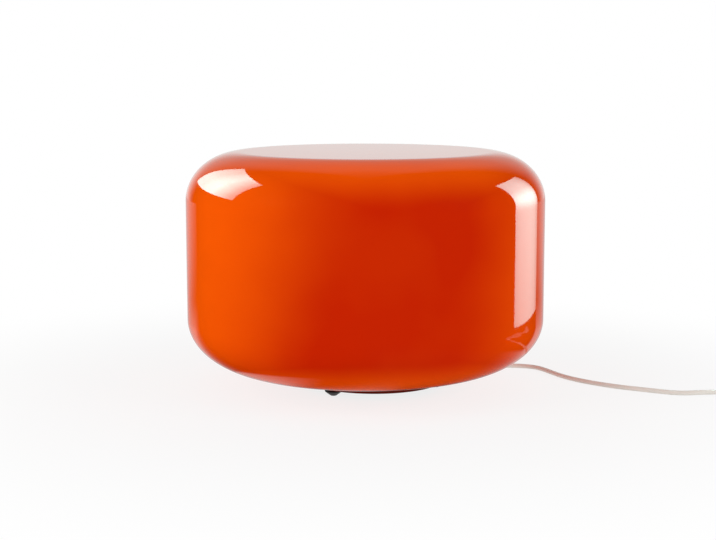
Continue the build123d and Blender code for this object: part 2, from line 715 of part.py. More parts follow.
with BuildPart() as bulb_glass:
    with BuildSketch(BASE_SECTION):
        with BuildLine():
            Line((NECK_R, NECK_Z), (NECK_R, FLARE_Z))
            flare_tangents = ((FLARE_LEAN, 1), belly_tangent)
            Spline((NECK_R, FLARE_Z), FLARE_MIDDLE, belly_start, tangents=flare_tangents)
            ThreePointArc(belly_start, on_belly(BULB_R, side_angle), (0, bulb_top_z))
            Line((0, bulb_top_z), (0, bulb_top_z - BULB_WALL))
            ThreePointArc(
                (0, bulb_top_z - BULB_WALL), on_belly(inner_belly_r, side_angle), inner_belly_start
            )
            Spline(
                inner_belly_start,
                INNER_FLARE_MIDDLE,
                (NECK_R - BULB_WALL, FLARE_Z),
                tangents=((-belly_tangent[0], -belly_tangent[1]), (-FLARE_LEAN, -1)),
            )
            Line((NECK_R - BULB_WALL, FLARE_Z), (NECK_R - BULB_WALL, NECK_Z))
            Line((NECK_R - BULB_WALL, NECK_Z), (NECK_R, NECK_Z))
        make_face()
    revolve(axis=BASE_AXIS)
finish(bulb_glass, "bulb_glass")

STEM_TOP_Z = 122.0
STEM_Z = 84.0
STEM_FLARE_R = 9.5
STEM_FLARE_Z = 87.0
STEM_WAIST = (4.0, 97.0)
STEM_NECK = (3.2, 106.0)
STEM_ROD_R = 1.2
STEM_ROD_Z = 110.0
with BuildPart() as bulb_stem:
    with BuildSketch(BASE_SECTION):
        with BuildLine():
            Polyline((0, STEM_Z), (STEM_FLARE_R, STEM_Z), (STEM_FLARE_R, STEM_FLARE_Z))
            Spline((STEM_FLARE_R, STEM_FLARE_Z), STEM_WAIST, STEM_NECK, tangents=((0, 1), (0, 1)))
            rod = ((STEM_ROD_R, STEM_ROD_Z), (STEM_ROD_R, STEM_TOP_Z))
            Polyline(STEM_NECK, *rod, (0, STEM_TOP_Z), (0, STEM_Z))
        make_face()
    revolve(axis=BASE_AXIS)
finish(bulb_stem, "bulb_stem")

FILAMENT_Z = 141.0
FILAMENT_R = 13.0
LEAD_R = 0.35
LEAD_FOOT = (2.0, 107.0)
LEAD_KNEE = (3.0, 112.0)
FILAMENT_ARCH = (4.0, 3.0)
LEAD_BEND = 1.2
filament_route = (
    (BASE_X - LEAD_FOOT[0], 0, LEAD_FOOT[1]),
    (BASE_X - LEAD_KNEE[0], 0, LEAD_KNEE[1]),
    (BASE_X - FILAMENT_R, 0, FILAMENT_Z),
    (BASE_X, FILAMENT_ARCH[0], FILAMENT_Z + FILAMENT_ARCH[1]),
    (BASE_X + FILAMENT_R, 0, FILAMENT_Z),
    (BASE_X + LEAD_KNEE[0], 0, LEAD_KNEE[1]),
    (BASE_X + LEAD_FOOT[0], 0, LEAD_FOOT[1]),
)
filament_wire = bundle([filament_route], bend=LEAD_BEND, section_r=LEAD_R)
with BuildPart() as bulb_filament:
    add(filament_wire.part)
    add(bulb_stem.part, mode=Mode.SUBTRACT)
finish(bulb_filament, "bulb_filament")


# The terminal block under the base's raised middle

BLOCK_NEAR = -10.0
BLOCK_FAR = -26.0
BLOCK_W = 18.0
BLOCK_Z = 19.0
BLOCK_ROUND = 1.5
BLOCK_SCREW_INSET = 3.5
BLOCK_WELL_R = 2.0
POLE_ASIDE = 4.6
POLE_Z = 24.6
SLEEVE_R = 2.4
SLEEVE_INSET = 1.0
CLAMP_SCREW_R = 1.2
CLAMP_SCREW_LENGTH = 3.0
CLAMP_HEAD_R = 1.8
CLAMP_HEAD_H = 1.2
BLOCK_HEAD_R = 2.6
BLOCK_HEAD_H = 1.8
SLEEVE_BORE_R = WIRE_R + FIT_GAP
block_middle = (BLOCK_NEAR + BLOCK_FAR) / 2
BLOCK_SCREW_SPOTS = [
    (along, aside)
    for along in (BLOCK_NEAR - BLOCK_SCREW_INSET, BLOCK_FAR + BLOCK_SCREW_INSET)
    for aside in (-POLE_ASIDE, POLE_ASIDE)
]

with BuildPart() as terminal_block:
    with BuildSketch(CORD_LEVEL.offset(BLOCK_Z)):
        with Locations((block_middle, 0)):
            RectangleRounded(BLOCK_NEAR - BLOCK_FAR, BLOCK_W, radius=BLOCK_ROUND)
    extrude(amount=BOSS_UNDER - BLOCK_Z)
    with BuildSketch(across_cord(BLOCK_FAR, POLE_Z)):
        with Locations((0, -POLE_ASIDE), (0, POLE_ASIDE)):
            Circle(SLEEVE_R + FIT_GAP)
    extrude(amount=BLOCK_NEAR - BLOCK_FAR, mode=Mode.SUBTRACT)
    with BuildSketch(CORD_LEVEL.offset(BLOCK_Z)):
        with Locations(BLOCK_SCREW_SPOTS):
            Circle(BLOCK_WELL_R)
    extrude(amount=POLE_Z - BLOCK_Z, mode=Mode.SUBTRACT)
    with BuildSketch(CORD_LEVEL.offset(BLOCK_Z)):
        with Locations((block_middle, 0)):
            Circle(M3_R + FIT_GAP)
    extrude(amount=BOSS_UNDER - BLOCK_Z, mode=Mode.SUBTRACT)
finish(terminal_block, "terminal_block")

with BuildPart() as terminal_sleeves:
    with BuildSketch(across_cord(BLOCK_FAR + SLEEVE_INSET, POLE_Z)):
        with Locations((0, -POLE_ASIDE), (0, POLE_ASIDE)):
            Circle(SLEEVE_R)
            Circle(SLEEVE_BORE_R, mode=Mode.SUBTRACT)
    extrude(amount=BLOCK_NEAR - BLOCK_FAR - 2 * SLEEVE_INSET)
    with BuildSketch(CORD_LEVEL.offset(BLOCK_Z)):
        with Locations(BLOCK_SCREW_SPOTS):
            Circle(CLAMP_SCREW_R + FIT_GAP)
    extrude(amount=POLE_Z - BLOCK_Z, mode=Mode.SUBTRACT)
finish(terminal_sleeves, "terminal_sleeves")

with BuildPart() as terminal_screws:
    with BuildSketch(CORD_LEVEL.offset(POLE_Z - WIRE_R - LOOSE_GAP)):
        with Locations(BLOCK_SCREW_SPOTS):
            Circle(CLAMP_SCREW_R)
    extrude(amount=-CLAMP_SCREW_LENGTH)
    with BuildSketch(CORD_LEVEL.offset(POLE_Z - WIRE_R - LOOSE_GAP - CLAMP_SCREW_LENGTH)):
        with Locations(BLOCK_SCREW_SPOTS):
            Circle(CLAMP_HEAD_R)
    extrude(amount=-CLAMP_HEAD_H)
finish(terminal_screws, "terminal_screws")

with BuildPart() as block_screw:
    with BuildSketch(CORD_LEVEL.offset(BLOCK_Z)):
        with Locations((block_middle, 0)):
            Circle(M3_R)
    extrude(amount=BOSS_UNDER - BLOCK_Z)
    with BuildSketch(CORD_LEVEL.offset(BLOCK_Z)):
        with Locations((block_middle, 0)):
            Circle(BLOCK_HEAD_R)
    extrude(amount=-BLOCK_HEAD_H)
finish(block_screw, "block_screw")


# The cord clamp, in two halves on the cover, with its screws

CLAMP_LONG = 9.0
CLAMP_WIDE = 22.0
CLAMP_TOP = CORD_EXIT_Z + 4.6
SPLIT_GAP = 0.25
CLAMP_ROUND = 1.5
M3_HEAD_R = 2.7
M3_HEAD_H = 2.0
SLOT_W = 0.8
SLOT_LONG = 6.0
SLOT_DEPTH = 1.0

with BuildPart() as clamp_bed:
    with BuildSketch(CORD_LEVEL.offset(WEIGHT_Z)):
        with Locations((CLAMP_ALONG, 0)):
            RectangleRounded(CLAMP_LONG, CLAMP_WIDE, radius=CLAMP_ROUND)
        with Locations((CLAMP_ALONG, CLAMP_SCREW_ASIDE), (CLAMP_ALONG, -CLAMP_SCREW_ASIDE)):
            Circle(M3_R + FIT_GAP, mode=Mode.SUBTRACT)
    extrude(amount=CORD_EXIT_Z - SPLIT_GAP - WEIGHT_Z)
    with BuildSketch(across_cord(CLAMP_ALONG - CLAMP_LONG)):
        Circle(CORD_R)
    extrude(amount=2 * CLAMP_LONG, mode=Mode.SUBTRACT)
finish(clamp_bed, "clamp_bed")

with BuildPart() as clamp_saddle:
    with BuildSketch(CORD_LEVEL.offset(CORD_EXIT_Z + SPLIT_GAP)):
        with Locations((CLAMP_ALONG, 0)):
            RectangleRounded(CLAMP_LONG, CLAMP_WIDE, radius=CLAMP_ROUND)
        with Locations((CLAMP_ALONG, CLAMP_SCREW_ASIDE), (CLAMP_ALONG, -CLAMP_SCREW_ASIDE)):
            Circle(M3_R + FIT_GAP, mode=Mode.SUBTRACT)
    extrude(amount=CLAMP_TOP - CORD_EXIT_Z - SPLIT_GAP)
    with BuildSketch(across_cord(CLAMP_ALONG - CLAMP_LONG)):
        Circle(CORD_R)
    extrude(amount=2 * CLAMP_LONG, mode=Mode.SUBTRACT)
finish(clamp_saddle, "clamp_saddle")

with BuildPart() as clamp_screws:
    with BuildSketch(CORD_LEVEL.offset(COVER_Z)):
        with Locations((CLAMP_ALONG, CLAMP_SCREW_ASIDE), (CLAMP_ALONG, -CLAMP_SCREW_ASIDE)):
            Circle(M3_R)
    extrude(amount=CLAMP_TOP - COVER_Z)
    with BuildSketch(CORD_LEVEL.offset(CLAMP_TOP)):
        with Locations((CLAMP_ALONG, CLAMP_SCREW_ASIDE), (CLAMP_ALONG, -CLAMP_SCREW_ASIDE)):
            Circle(M3_HEAD_R)
    extrude(amount=M3_HEAD_H)
    with BuildSketch(CORD_LEVEL.offset(CLAMP_TOP + M3_HEAD_H)):
        with Locations((CLAMP_ALONG, CLAMP_SCREW_ASIDE), (CLAMP_ALONG, -CLAMP_SCREW_ASIDE)):
            Rectangle(SLOT_W, SLOT_LONG)
    extrude(amount=-SLOT_DEPTH, mode=Mode.SUBTRACT)
finish(clamp_screws, "clamp_screws")


# The bush in the dish's wall, tapering round the cord, and the cord's length inside the base

BUSH_IN_R = 72.5
BUSH_FLANGE_R = 6.0
BUSH_OUT_R = 82.0
BUSH_ROOT_R = 4.8
BUSH_ROOT_OUT = 1.5
BUSH_TAIL_R = 3.5
BUSH_BORE_R = CORD_R + LOOSE_GAP
SHEATH_END = 24.0

with BuildPart() as cord_bush:
    with BuildSketch(CORD_SIDE):
        with BuildLine():
            Polyline(
                (BUSH_IN_R, CORD_EXIT_Z + BUSH_BORE_R),
                (BUSH_IN_R, CORD_EXIT_Z + BUSH_NECK_R),
                (WALL_R, CORD_EXIT_Z + BUSH_NECK_R),
                (WALL_R, CORD_EXIT_Z + BUSH_FLANGE_R),
                (BUSH_OUT_R, CORD_EXIT_Z + BUSH_FLANGE_R),
                (BUSH_OUT_R + BUSH_ROOT_OUT, CORD_EXIT_Z + BUSH_ROOT_R),
                (BUSH_END_R, CORD_EXIT_Z + BUSH_TAIL_R),
                (BUSH_END_R, CORD_EXIT_Z + BUSH_BORE_R),
                close=True,
            )
        make_face()
    revolve(axis=CORD_LINE)
    add(base_dish.part, mode=Mode.SUBTRACT)
finish(cord_bush, "cord_bush")

with BuildPart() as cord_inner:
    with BuildSketch(across_cord(SHEATH_END)):
        Circle(CORD_R)
    extrude(amount=BUSH_END_R - SHEATH_END)
finish(cord_inner, "cord_inner")


# The cores from the sheath to the block, and the wires from the block up to the holder

SUPPLY_BEND = 2.2
HOLDER_BEND = 1.6


def both_sides(route):
    """A route given along, aside and height, and its mirror image beyond the cord's exit line."""
    return [[on_exit(along, side * aside, height) for along, aside, height in route] for side in (1, -1)]


supply_cores = bundle(
    both_sides(
        (
            (SHEATH_END, 1.3, CORD_EXIT_Z),
            (18.0, 1.3, CORD_EXIT_Z),
            (9.0, 5.4, 15.0),
            (-2.0, 5.6, 19.5),
            (-5.5, POLE_ASIDE, POLE_Z),
            (BLOCK_NEAR - 6.0, POLE_ASIDE, POLE_Z),
        )
    ),
    bend=SUPPLY_BEND,
)
finish(supply_cores, "supply_cores")

holder_wires = bundle(
    both_sides(
        (
            (BLOCK_FAR + 6.0, POLE_ASIDE, POLE_Z),
            (BLOCK_FAR - 5.5, POLE_ASIDE, POLE_Z),
            (BLOCK_FAR - 5.5, 3.6, 13.0),
            (0, 1.5, 13.0),
            (0, 1.5, NIPPLE_TOP + 1.0),
            (0, TERMINAL_ASIDE, NIPPLE_TOP + 2.3),
            (0, TERMINAL_ASIDE, HOLDER_WIRE_END),
        )
    ),
    bend=HOLDER_BEND,
)
finish(holder_wires, "holder_wires")


# The cord's free run from the bush to the switch

BEND_SHARE = 0.45
BUSH_AHEAD = 24.0


def cord_tube(name, points):
    """Sweep a round cord along straight runs joined by tangent arcs, and print its figures."""
    spots = [Vector(*point) for point in points]
    runs = [after - before for before, after in zip(spots, spots[1:])]
    bends = []
    for before, after in zip(runs, runs[1:]):
        half_turn = math.radians(before.get_angle(after)) / 2
        bends.append(BEND_SHARE * min(before.length, after.length) / math.tan(half_turn))
    with BuildPart() as tube:
        with BuildLine() as tube_line:
            FilletPolyline(*spots, radius=bends)
        tube_path = tube_line.wire()
        with BuildSketch(Plane(tube_path @ 0, z_dir=tube_path % 0)):
            Circle(CORD_R)
        sweep(path=tube_path)
    share = tube.part.volume / (math.pi * CORD_R**2 * tube_path.length)
    print(name, "radii", [round(bend, 1) for bend in bends])
    print(name, "length", round(tube_path.length, 1), "volume over section times length", round(share, 4))
    finish(tube, name)
    return tube_path.length


SWITCH_IN_X = 394.0
SWITCH_LENGTH = 62.0
SWITCH_Y = -66.0
SWITCH_CORD_Z = 6.0
SWITCH_OUT_X = SWITCH_IN_X + SWITCH_LENGTH

bush_end = on_exit(BUSH_END_R, 0, CORD_EXIT_Z)
bush_ahead = on_exit(BUSH_END_R + BUSH_AHEAD, 0, CORD_EXIT_Z)
lamp_run_points = (
    tuple(bush_end),
    tuple(bush_ahead),
    (147, 85, 3.8),
    (177, 95, CORD_R),
    (204, 86.5, CORD_R),
    (217.5, 60, CORD_R),
    (229, 33, CORD_R),
    (249, 5, CORD_R),
    (280, -22, CORD_R),
    (318, -43, CORD_R),
    (347, -58, CORD_R),
    (371, SWITCH_Y, SWITCH_CORD_Z),
    (SWITCH_IN_X, SWITCH_Y, SWITCH_CORD_Z),
)
cord_length = cord_tube("cord_lamp_run", lamp_run_points)


# The switch in the cord: two housing halves, rocker, plunger, contact bridge and contacts

SWITCH_X = SWITCH_IN_X + SWITCH_LENGTH / 2
SWITCH_PLANE = Plane((SWITCH_X, SWITCH_Y, 0))
SWITCH_TOP = 15.0
SWITCH_WIDE = 24.0
SWITCH_END_WIDE = 13.0
SWITCH_WALL = 2.0
SWITCH_CORNER_R = 3.0
SWITCH_FOOT_ROUND = 1.4
SWITCH_TOP_ROUND = 2.4
ROCKER_AXIS_Z = 11.0
ROCKER_W = 9.6
ROCKER_LONG = 15.0
ROCKER_TILT = 9.0
WINDOW_GAP = 0.5
PIVOT_R = 1.2
RUNNING_GAP = 0.05
BRIDGE_AXIS_Z = 4.2
BRIDGE_TILT = 5.0


def switch_outline(inset):
    """Half outline corners of the switch seen from above, drawn in by the inset."""
    long_half = SWITCH_LENGTH / 2 - inset
    end_half = SWITCH_END_WIDE / 2 - inset
    wide_half = SWITCH_WIDE / 2 - inset
    return (
        (long_half, -end_half),
        (long_half, end_half),
        (SWITCH_LENGTH / 3, wide_half),
        (-SWITCH_LENGTH / 3, wide_half),
        (-long_half, end_half),
        (-long_half, -end_half),
        (-SWITCH_LENGTH / 3, -wide_half),
        (SWITCH_LENGTH / 3, -wide_half),
    )


SWITCH_SCREW_SPOTS = ((-18.0, 6.5), (18.0, -6.5))
CORD_ENTRY_DEPTH = 9.0
PILLAR_R = 2.4
SWITCH_SCREW_R = 1.2
SWITCH_SCREW_Z = 1.0
SWITCH_SCREW_LENGTH = 10.5
SCREW_HOLE_DEPTH = 6.0
POST_ASIDE = 3.6
POST_LONG = 4.0
POST_W = 1.6
POST_REACH = 5.0
BRIDGE_PIN_R = 0.7
EAR_LONG = 6.0
EAR_W = 2.0
EAR_UNDER = 2.6

with BuildPart() as switch_base:
    with BuildSketch(SWITCH_PLANE) as base_sketch:
        Polygon(*switch_outline(0), align=None)
        fillet(base_sketch.vertices(), radius=SWITCH_CORNER_R)
    extrude(amount=SWITCH_CORD_Z)
    fillet(switch_base.faces().sort_by(Axis.Z)[0].edges(), radius=SWITCH_FOOT_ROUND)
    with BuildSketch(SWITCH_PLANE.offset(SWITCH_WALL)):
        Rectangle(SWITCH_LENGTH - 2 * CORD_ENTRY_DEPTH, SWITCH_WIDE - 3 * SWITCH_WALL)
    extrude(amount=SWITCH_TOP, mode=Mode.SUBTRACT)
    with BuildSketch(Plane(origin=(SWITCH_IN_X, SWITCH_Y, SWITCH_CORD_Z), z_dir=(1, 0, 0))):
        Circle(CORD_R + FIT_GAP)
    extrude(amount=SWITCH_LENGTH, mode=Mode.SUBTRACT)
    # Two posts that the contact bridge rocks on, and pillars for the screws
    with BuildSketch(SWITCH_PLANE.offset(SWITCH_WALL)):
        with Locations((0, POST_ASIDE), (0, -POST_ASIDE)):
            Rectangle(POST_LONG, POST_W)
        with Locations(*SWITCH_SCREW_SPOTS):
            Circle(PILLAR_R)
    extrude(amount=SWITCH_CORD_Z - SWITCH_WALL)
    with BuildSketch(Plane(origin=(SWITCH_X, SWITCH_Y, BRIDGE_AXIS_Z), x_dir=(1, 0, 0), z_dir=(0, 1, 0))):
        Circle(BRIDGE_PIN_R + RUNNING_GAP)
    extrude(amount=POST_REACH, both=True, mode=Mode.SUBTRACT)
    with BuildSketch(SWITCH_PLANE):
        with Locations(*SWITCH_SCREW_SPOTS):
            Circle(SWITCH_SCREW_R + FIT_GAP)
    extrude(amount=SWITCH_CORD_Z, mode=Mode.SUBTRACT)
finish(switch_base, "switch_base")

with BuildPart() as switch_cover:
    with BuildSketch(SWITCH_PLANE.offset(SWITCH_CORD_Z)) as cover_sketch:
        Polygon(*switch_outline(0), align=None)
        fillet(cover_sketch.vertices(), radius=SWITCH_CORNER_R)
    extrude(amount=SWITCH_TOP - SWITCH_CORD_Z)
    fillet(switch_cover.faces().sort_by(Axis.Z)[-1].edges(), radius=SWITCH_TOP_ROUND)
    with BuildSketch(SWITCH_PLANE.offset(SWITCH_CORD_Z)):
        Rectangle(SWITCH_LENGTH - 2 * CORD_ENTRY_DEPTH, SWITCH_WIDE - 3 * SWITCH_WALL)
    extrude(amount=SWITCH_TOP - SWITCH_CORD_Z - SWITCH_WALL, mode=Mode.SUBTRACT)
    with BuildSketch(Plane(origin=(SWITCH_IN_X, SWITCH_Y, SWITCH_CORD_Z), z_dir=(1, 0, 0))):
        Circle(CORD_R + FIT_GAP)
    extrude(amount=SWITCH_LENGTH, mode=Mode.SUBTRACT)
    with BuildSketch(SWITCH_PLANE.offset(SWITCH_CORD_Z)):
        Rectangle(ROCKER_LONG + 2 * WINDOW_GAP, ROCKER_W + 2 * WINDOW_GAP)
    extrude(amount=SWITCH_TOP, mode=Mode.SUBTRACT)
    # Two ears beside the window that hold the rocker's pins
    with BuildSketch(SWITCH_PLANE.offset(ROCKER_AXIS_Z - EAR_UNDER)):
        ear_middle = ROCKER_W / 2 + WINDOW_GAP + EAR_W / 2
        with Locations((0, ear_middle), (0, -ear_middle)):
            Rectangle(EAR_LONG, EAR_W)
        with Locations(*SWITCH_SCREW_SPOTS):
            Circle(PILLAR_R)
    extrude(amount=SWITCH_TOP - SWITCH_WALL - ROCKER_AXIS_Z + EAR_UNDER)
    with BuildSketch(SWITCH_PLANE.offset(SWITCH_CORD_Z)):
        with Locations(*SWITCH_SCREW_SPOTS):
            Circle(PILLAR_R)
    extrude(amount=SWITCH_TOP - SWITCH_WALL - SWITCH_CORD_Z)
    with BuildSketch(Plane(origin=(SWITCH_X, SWITCH_Y, ROCKER_AXIS_Z), x_dir=(1, 0, 0), z_dir=(0, 1, 0))):
        Circle(PIVOT_R + RUNNING_GAP)
    extrude(amount=ear_middle + EAR_W / 2, both=True, mode=Mode.SUBTRACT)
    with BuildSketch(SWITCH_PLANE.offset(SWITCH_CORD_Z)):
        with Locations(*SWITCH_SCREW_SPOTS):
            Circle(SWITCH_SCREW_R + FIT_GAP)
    extrude(amount=SCREW_HOLE_DEPTH, mode=Mode.SUBTRACT)
finish(switch_cover, "switch_cover")

with BuildPart() as switch_screws:
    with BuildSketch(SWITCH_PLANE.offset(SWITCH_SCREW_Z)):
        with Locations(*SWITCH_SCREW_SPOTS):
            Circle(SWITCH_SCREW_R)
    extrude(amount=SWITCH_SCREW_LENGTH)
finish(switch_screws, "switch_screws")

# The rocker is drawn level and then tipped to its off position about its pins
PIN_LENGTH = ear_middle + 0.8
ROCKER_VALLEY_Z = 4.4
ROCKER_END_Z = 5.5
ROCKER_END_INSET = 0.8
ROCKER_SIDE_Z = 0.5
ROCKER_KEEL_HALF = 3.0
ROCKER_KEEL_Z = -2.0
ROCKER_ROUND = 0.8
PLUNGER_WELL_R = 1.6
PLUNGER_WELL_DEPTH = 3.0

with BuildPart() as level_rocker:
    with BuildSketch(Plane(origin=(0, 0, 0), x_dir=(1, 0, 0), z_dir=(0, -1, 0))):
        with BuildLine():
            Polyline(
                (0, ROCKER_VALLEY_Z),
                (ROCKER_LONG / 2 - ROCKER_END_INSET, ROCKER_END_Z),
                (ROCKER_LONG / 2, ROCKER_SIDE_Z),
                (ROCKER_KEEL_HALF, ROCKER_KEEL_Z),
                (-ROCKER_KEEL_HALF, ROCKER_KEEL_Z),
                (-ROCKER_LONG / 2, ROCKER_SIDE_Z),
                (ROCKER_END_INSET - ROCKER_LONG / 2, ROCKER_END_Z),
                close=True,
            )
        make_face()
    extrude(amount=ROCKER_W / 2, both=True)
    fillet(level_rocker.edges().filter_by(Axis.Y).group_by(Axis.Z)[-1], radius=ROCKER_ROUND)
    with BuildSketch(Plane(origin=(0, 0, 0), x_dir=(1, 0, 0), z_dir=(0, 1, 0))):
        Circle(PIVOT_R)
    extrude(amount=PIN_LENGTH, both=True)
    with BuildSketch(Plane.XY.offset(ROCKER_KEEL_Z)):
        Circle(PLUNGER_WELL_R)
    extrude(amount=PLUNGER_WELL_DEPTH, mode=Mode.SUBTRACT)

rocker_place = Location((SWITCH_X, SWITCH_Y, ROCKER_AXIS_Z), (0, ROCKER_TILT, 0))
with BuildPart() as switch_rocker:
    with Locations(rocker_place):
        add(level_rocker.part)
finish(switch_rocker, "switch_rocker")

PLUNGER_TIP = -6.05
PLUNGER_TOP = 0.6
PLUNGER_R = 1.5
PLUNGER_SHOULDER = -2.6
PLUNGER_ROD_TOP = -3.2
PLUNGER_ROD_R = 0.8

with BuildPart() as level_plunger:
    with BuildSketch(Plane.XZ):
        with BuildLine():
            flank = Polyline(
                (0, PLUNGER_TOP),
                (PLUNGER_R, PLUNGER_TOP),
                (PLUNGER_R, PLUNGER_SHOULDER),
                (PLUNGER_ROD_R, PLUNGER_ROD_TOP),
                (PLUNGER_ROD_R, PLUNGER_TIP + PLUNGER_ROD_R),
            )
            RadiusArc(flank @ 1, (0, PLUNGER_TIP), PLUNGER_ROD_R)
            Line((0, PLUNGER_TIP), (0, PLUNGER_TOP))
        make_face()
    revolve(axis=Axis.Z)

with BuildPart() as switch_plunger:
    with Locations(rocker_place):
        add(level_plunger.part)
finish(switch_plunger, "switch_plunger")

BRIDGE_LONG = 15.0
BRIDGE_W = 4.6
BRIDGE_SHEET = 0.8
BRIDGE_PIN_LENGTH = 4.3

with BuildPart() as level_bridge:
    with BuildSketch(Plane.XY.offset(-BRIDGE_SHEET / 2)):
        Rectangle(BRIDGE_LONG, BRIDGE_W)
    extrude(amount=BRIDGE_SHEET)
    with BuildSketch(Plane(origin=(0, 0, 0), x_dir=(1, 0, 0), z_dir=(0, 1, 0))):
        Circle(BRIDGE_PIN_R)
    extrude(amount=BRIDGE_PIN_LENGTH, both=True)

with BuildPart() as switch_bridge:
    with Locations(Location((SWITCH_X, SWITCH_Y, BRIDGE_AXIS_Z), (0, -BRIDGE_TILT, 0))):
        add(level_bridge.part)
finish(switch_bridge, "switch_bridge")

FIXED_CONTACT_X = 6.4
FIXED_CONTACT_R = 1.3
FIXED_STRIP_X = 11.0
FIXED_STRIP_LONG = 7.0
HINGE_STRIP_X = -12.0
HINGE_STRIP_LONG = 5.0
STRIP_W = 3.6

with BuildPart() as switch_contacts:
    with BuildSketch(SWITCH_PLANE.offset(SWITCH_WALL)):
        with Locations((FIXED_CONTACT_X, 0)):
            Circle(FIXED_CONTACT_R)
        with Locations((FIXED_STRIP_X, 0)):
            Rectangle(FIXED_STRIP_LONG, STRIP_W)
        with Locations((HINGE_STRIP_X, 0)):
            Rectangle(HINGE_STRIP_LONG, STRIP_W)
    extrude(amount=CONTACT_SHEET)
finish(switch_contacts, "switch_contacts")

STUB_LENGTH = CORD_ENTRY_DEPTH + 1.0
with BuildPart() as switch_sheaths:
    with BuildSketch(Plane(origin=(SWITCH_IN_X, SWITCH_Y, SWITCH_CORD_Z), z_dir=(1, 0, 0))):
        Circle(CORD_R)
    extrude(amount=STUB_LENGTH)
    with BuildSketch(Plane(origin=(SWITCH_OUT_X, SWITCH_Y, SWITCH_CORD_Z), z_dir=(-1, 0, 0))):
        Circle(CORD_R)
    extrude(amount=STUB_LENGTH)
finish(switch_sheaths, "switch_sheaths")

CORE_R = 0.9
CORE_BEND = 1.5
stub_in = STUB_LENGTH - SWITCH_LENGTH / 2
switch_routes = (
    ((stub_in, -1.3, 6.0), (-17.5, -1.3, 6.0), (-14.5, -0.4, 3.5), (-10.5, 0, 3.5)),
    ((9.5, 0, 3.5), (14.5, -0.4, 3.5), (17.5, -1.3, 6.0), (-stub_in, -1.3, 6.0)),
    (
        (stub_in, 1.3, 6.0),
        (-16.5, 1.3, 6.0),
        (-9.5, 6.6, 3.2),
        (9.5, 6.6, 3.2),
        (16.5, 1.3, 6.0),
        (-stub_in, 1.3, 6.0),
    ),
)
switch_wires = bundle(
    [[SWITCH_PLANE.from_local_coords(Vector(*spot)) for spot in route] for route in switch_routes],
    bend=CORE_BEND,
    section_r=CORE_R,
)
finish(switch_wires, "switch_wires")


# The tied coil: two layers of turns, in at the steady pitch, up a layer, and out again

TURN_PITCH = 5.8
COIL_MIDDLE_R = 32.0
LOWER_TURNS = 3
UPPER_TURNS = 2.5
TIE_SHEET = 0.6
COIL_Z = CORD_R + 0.8
COIL_X = 459.8
COIL_Y = 0.0
coil_outer_r = COIL_MIDDLE_R + LOWER_TURNS * TURN_PITCH / 2
coil_inner_r = COIL_MIDDLE_R - LOWER_TURNS * TURN_PITCH / 2
climb_start = LOWER_TURNS * 360.0
climb_end = climb_start + 180.0
coil_end = climb_end + UPPER_TURNS * 360.0


def coil_point(angle):
    """A point of the coil's centre line, after turning this many degrees."""
    height = COIL_Z
    if angle <= climb_start + 90:
        radius = coil_outer_r - TURN_PITCH * angle / 360
    else:
        radius = coil_inner_r + TURN_PITCH * (angle - climb_end) / 360
    if angle > climb_start:
        climbed = min((angle - climb_start) / (climb_end - climb_start), 1.0)
        height += TURN_PITCH * (1 - math.cos(math.pi * climbed)) / 2
    turned = math.radians(angle)
    return Vector(COIL_X + radius * math.cos(turned), COIL_Y + radius * math.sin(turned), height)


def coil_direction(angle):
    """The coil's direction there. It is square to the radius at both ends, as the straights are."""
    if angle in (0, coil_end):
        return Vector(0, 1, 0)
    return (coil_point(angle + 0.01) - coil_point(angle - 0.01)).normalized()


with BuildPart() as cord_coil:
    with BuildLine() as coil_line:
        coil_start = coil_point(0)
        straight_in = Line(coil_start - Vector(0, 2 * CORD_R, 0), coil_start)
        angle = 0.0
        while angle < coil_end:
            step_end = angle + 90.0
            near, far = coil_point(angle), coil_point(step_end)
            leave, arrive = coil_direction(angle), coil_direction(step_end)
            # Equal handle lengths on both sides give the biarc's joint
            gap = far - near
            both = leave + arrive
            spread = 2 * (1 - leave.dot(arrive))
            handle = (-gap.dot(both) + math.sqrt(gap.dot(both) ** 2 + spread * gap.dot(gap))) / spread
            first, second = near + leave * handle, far - arrive * handle
            joint = (first + second) * 0.5
            TangentArc(near, joint, tangent=leave)
            TangentArc(joint, far, tangent=(second - first).normalized())
            angle = step_end
        Line(coil_point(coil_end), coil_point(coil_end) + Vector(0, 2 * CORD_R, 0))
    coil_path = coil_line.wire()
    with BuildSketch(Plane(coil_path @ 0, z_dir=coil_path % 0)):
        Circle(CORD_R)
    sweep(path=coil_path)
finish(cord_coil, "cord_coil")

# The gap is measured between points on the centre line that are far enough apart along it
SAMPLES = 1200
SAMPLE_STEP = 3
SAMPLES_APART = 80
coil_samples = [coil_path @ (n / SAMPLES) for n in range(SAMPLES + 1)]
least_gap = min(
    (coil_samples[i] - coil_samples[j]).length
    for i in range(0, SAMPLES + 1, SAMPLE_STEP)
    for j in range(i + SAMPLES_APART, SAMPLES + 1)
) - 2 * CORD_R
coil_share = cord_coil.part.volume / (math.pi * CORD_R**2 * coil_path.length)
print("cord_coil length", round(coil_path.length, 1), "least gap to itself", round(least_gap, 2))
print("cord_coil volume over section times length", round(coil_share, 4))


# The strap that ties the coil, a closed band round its turns

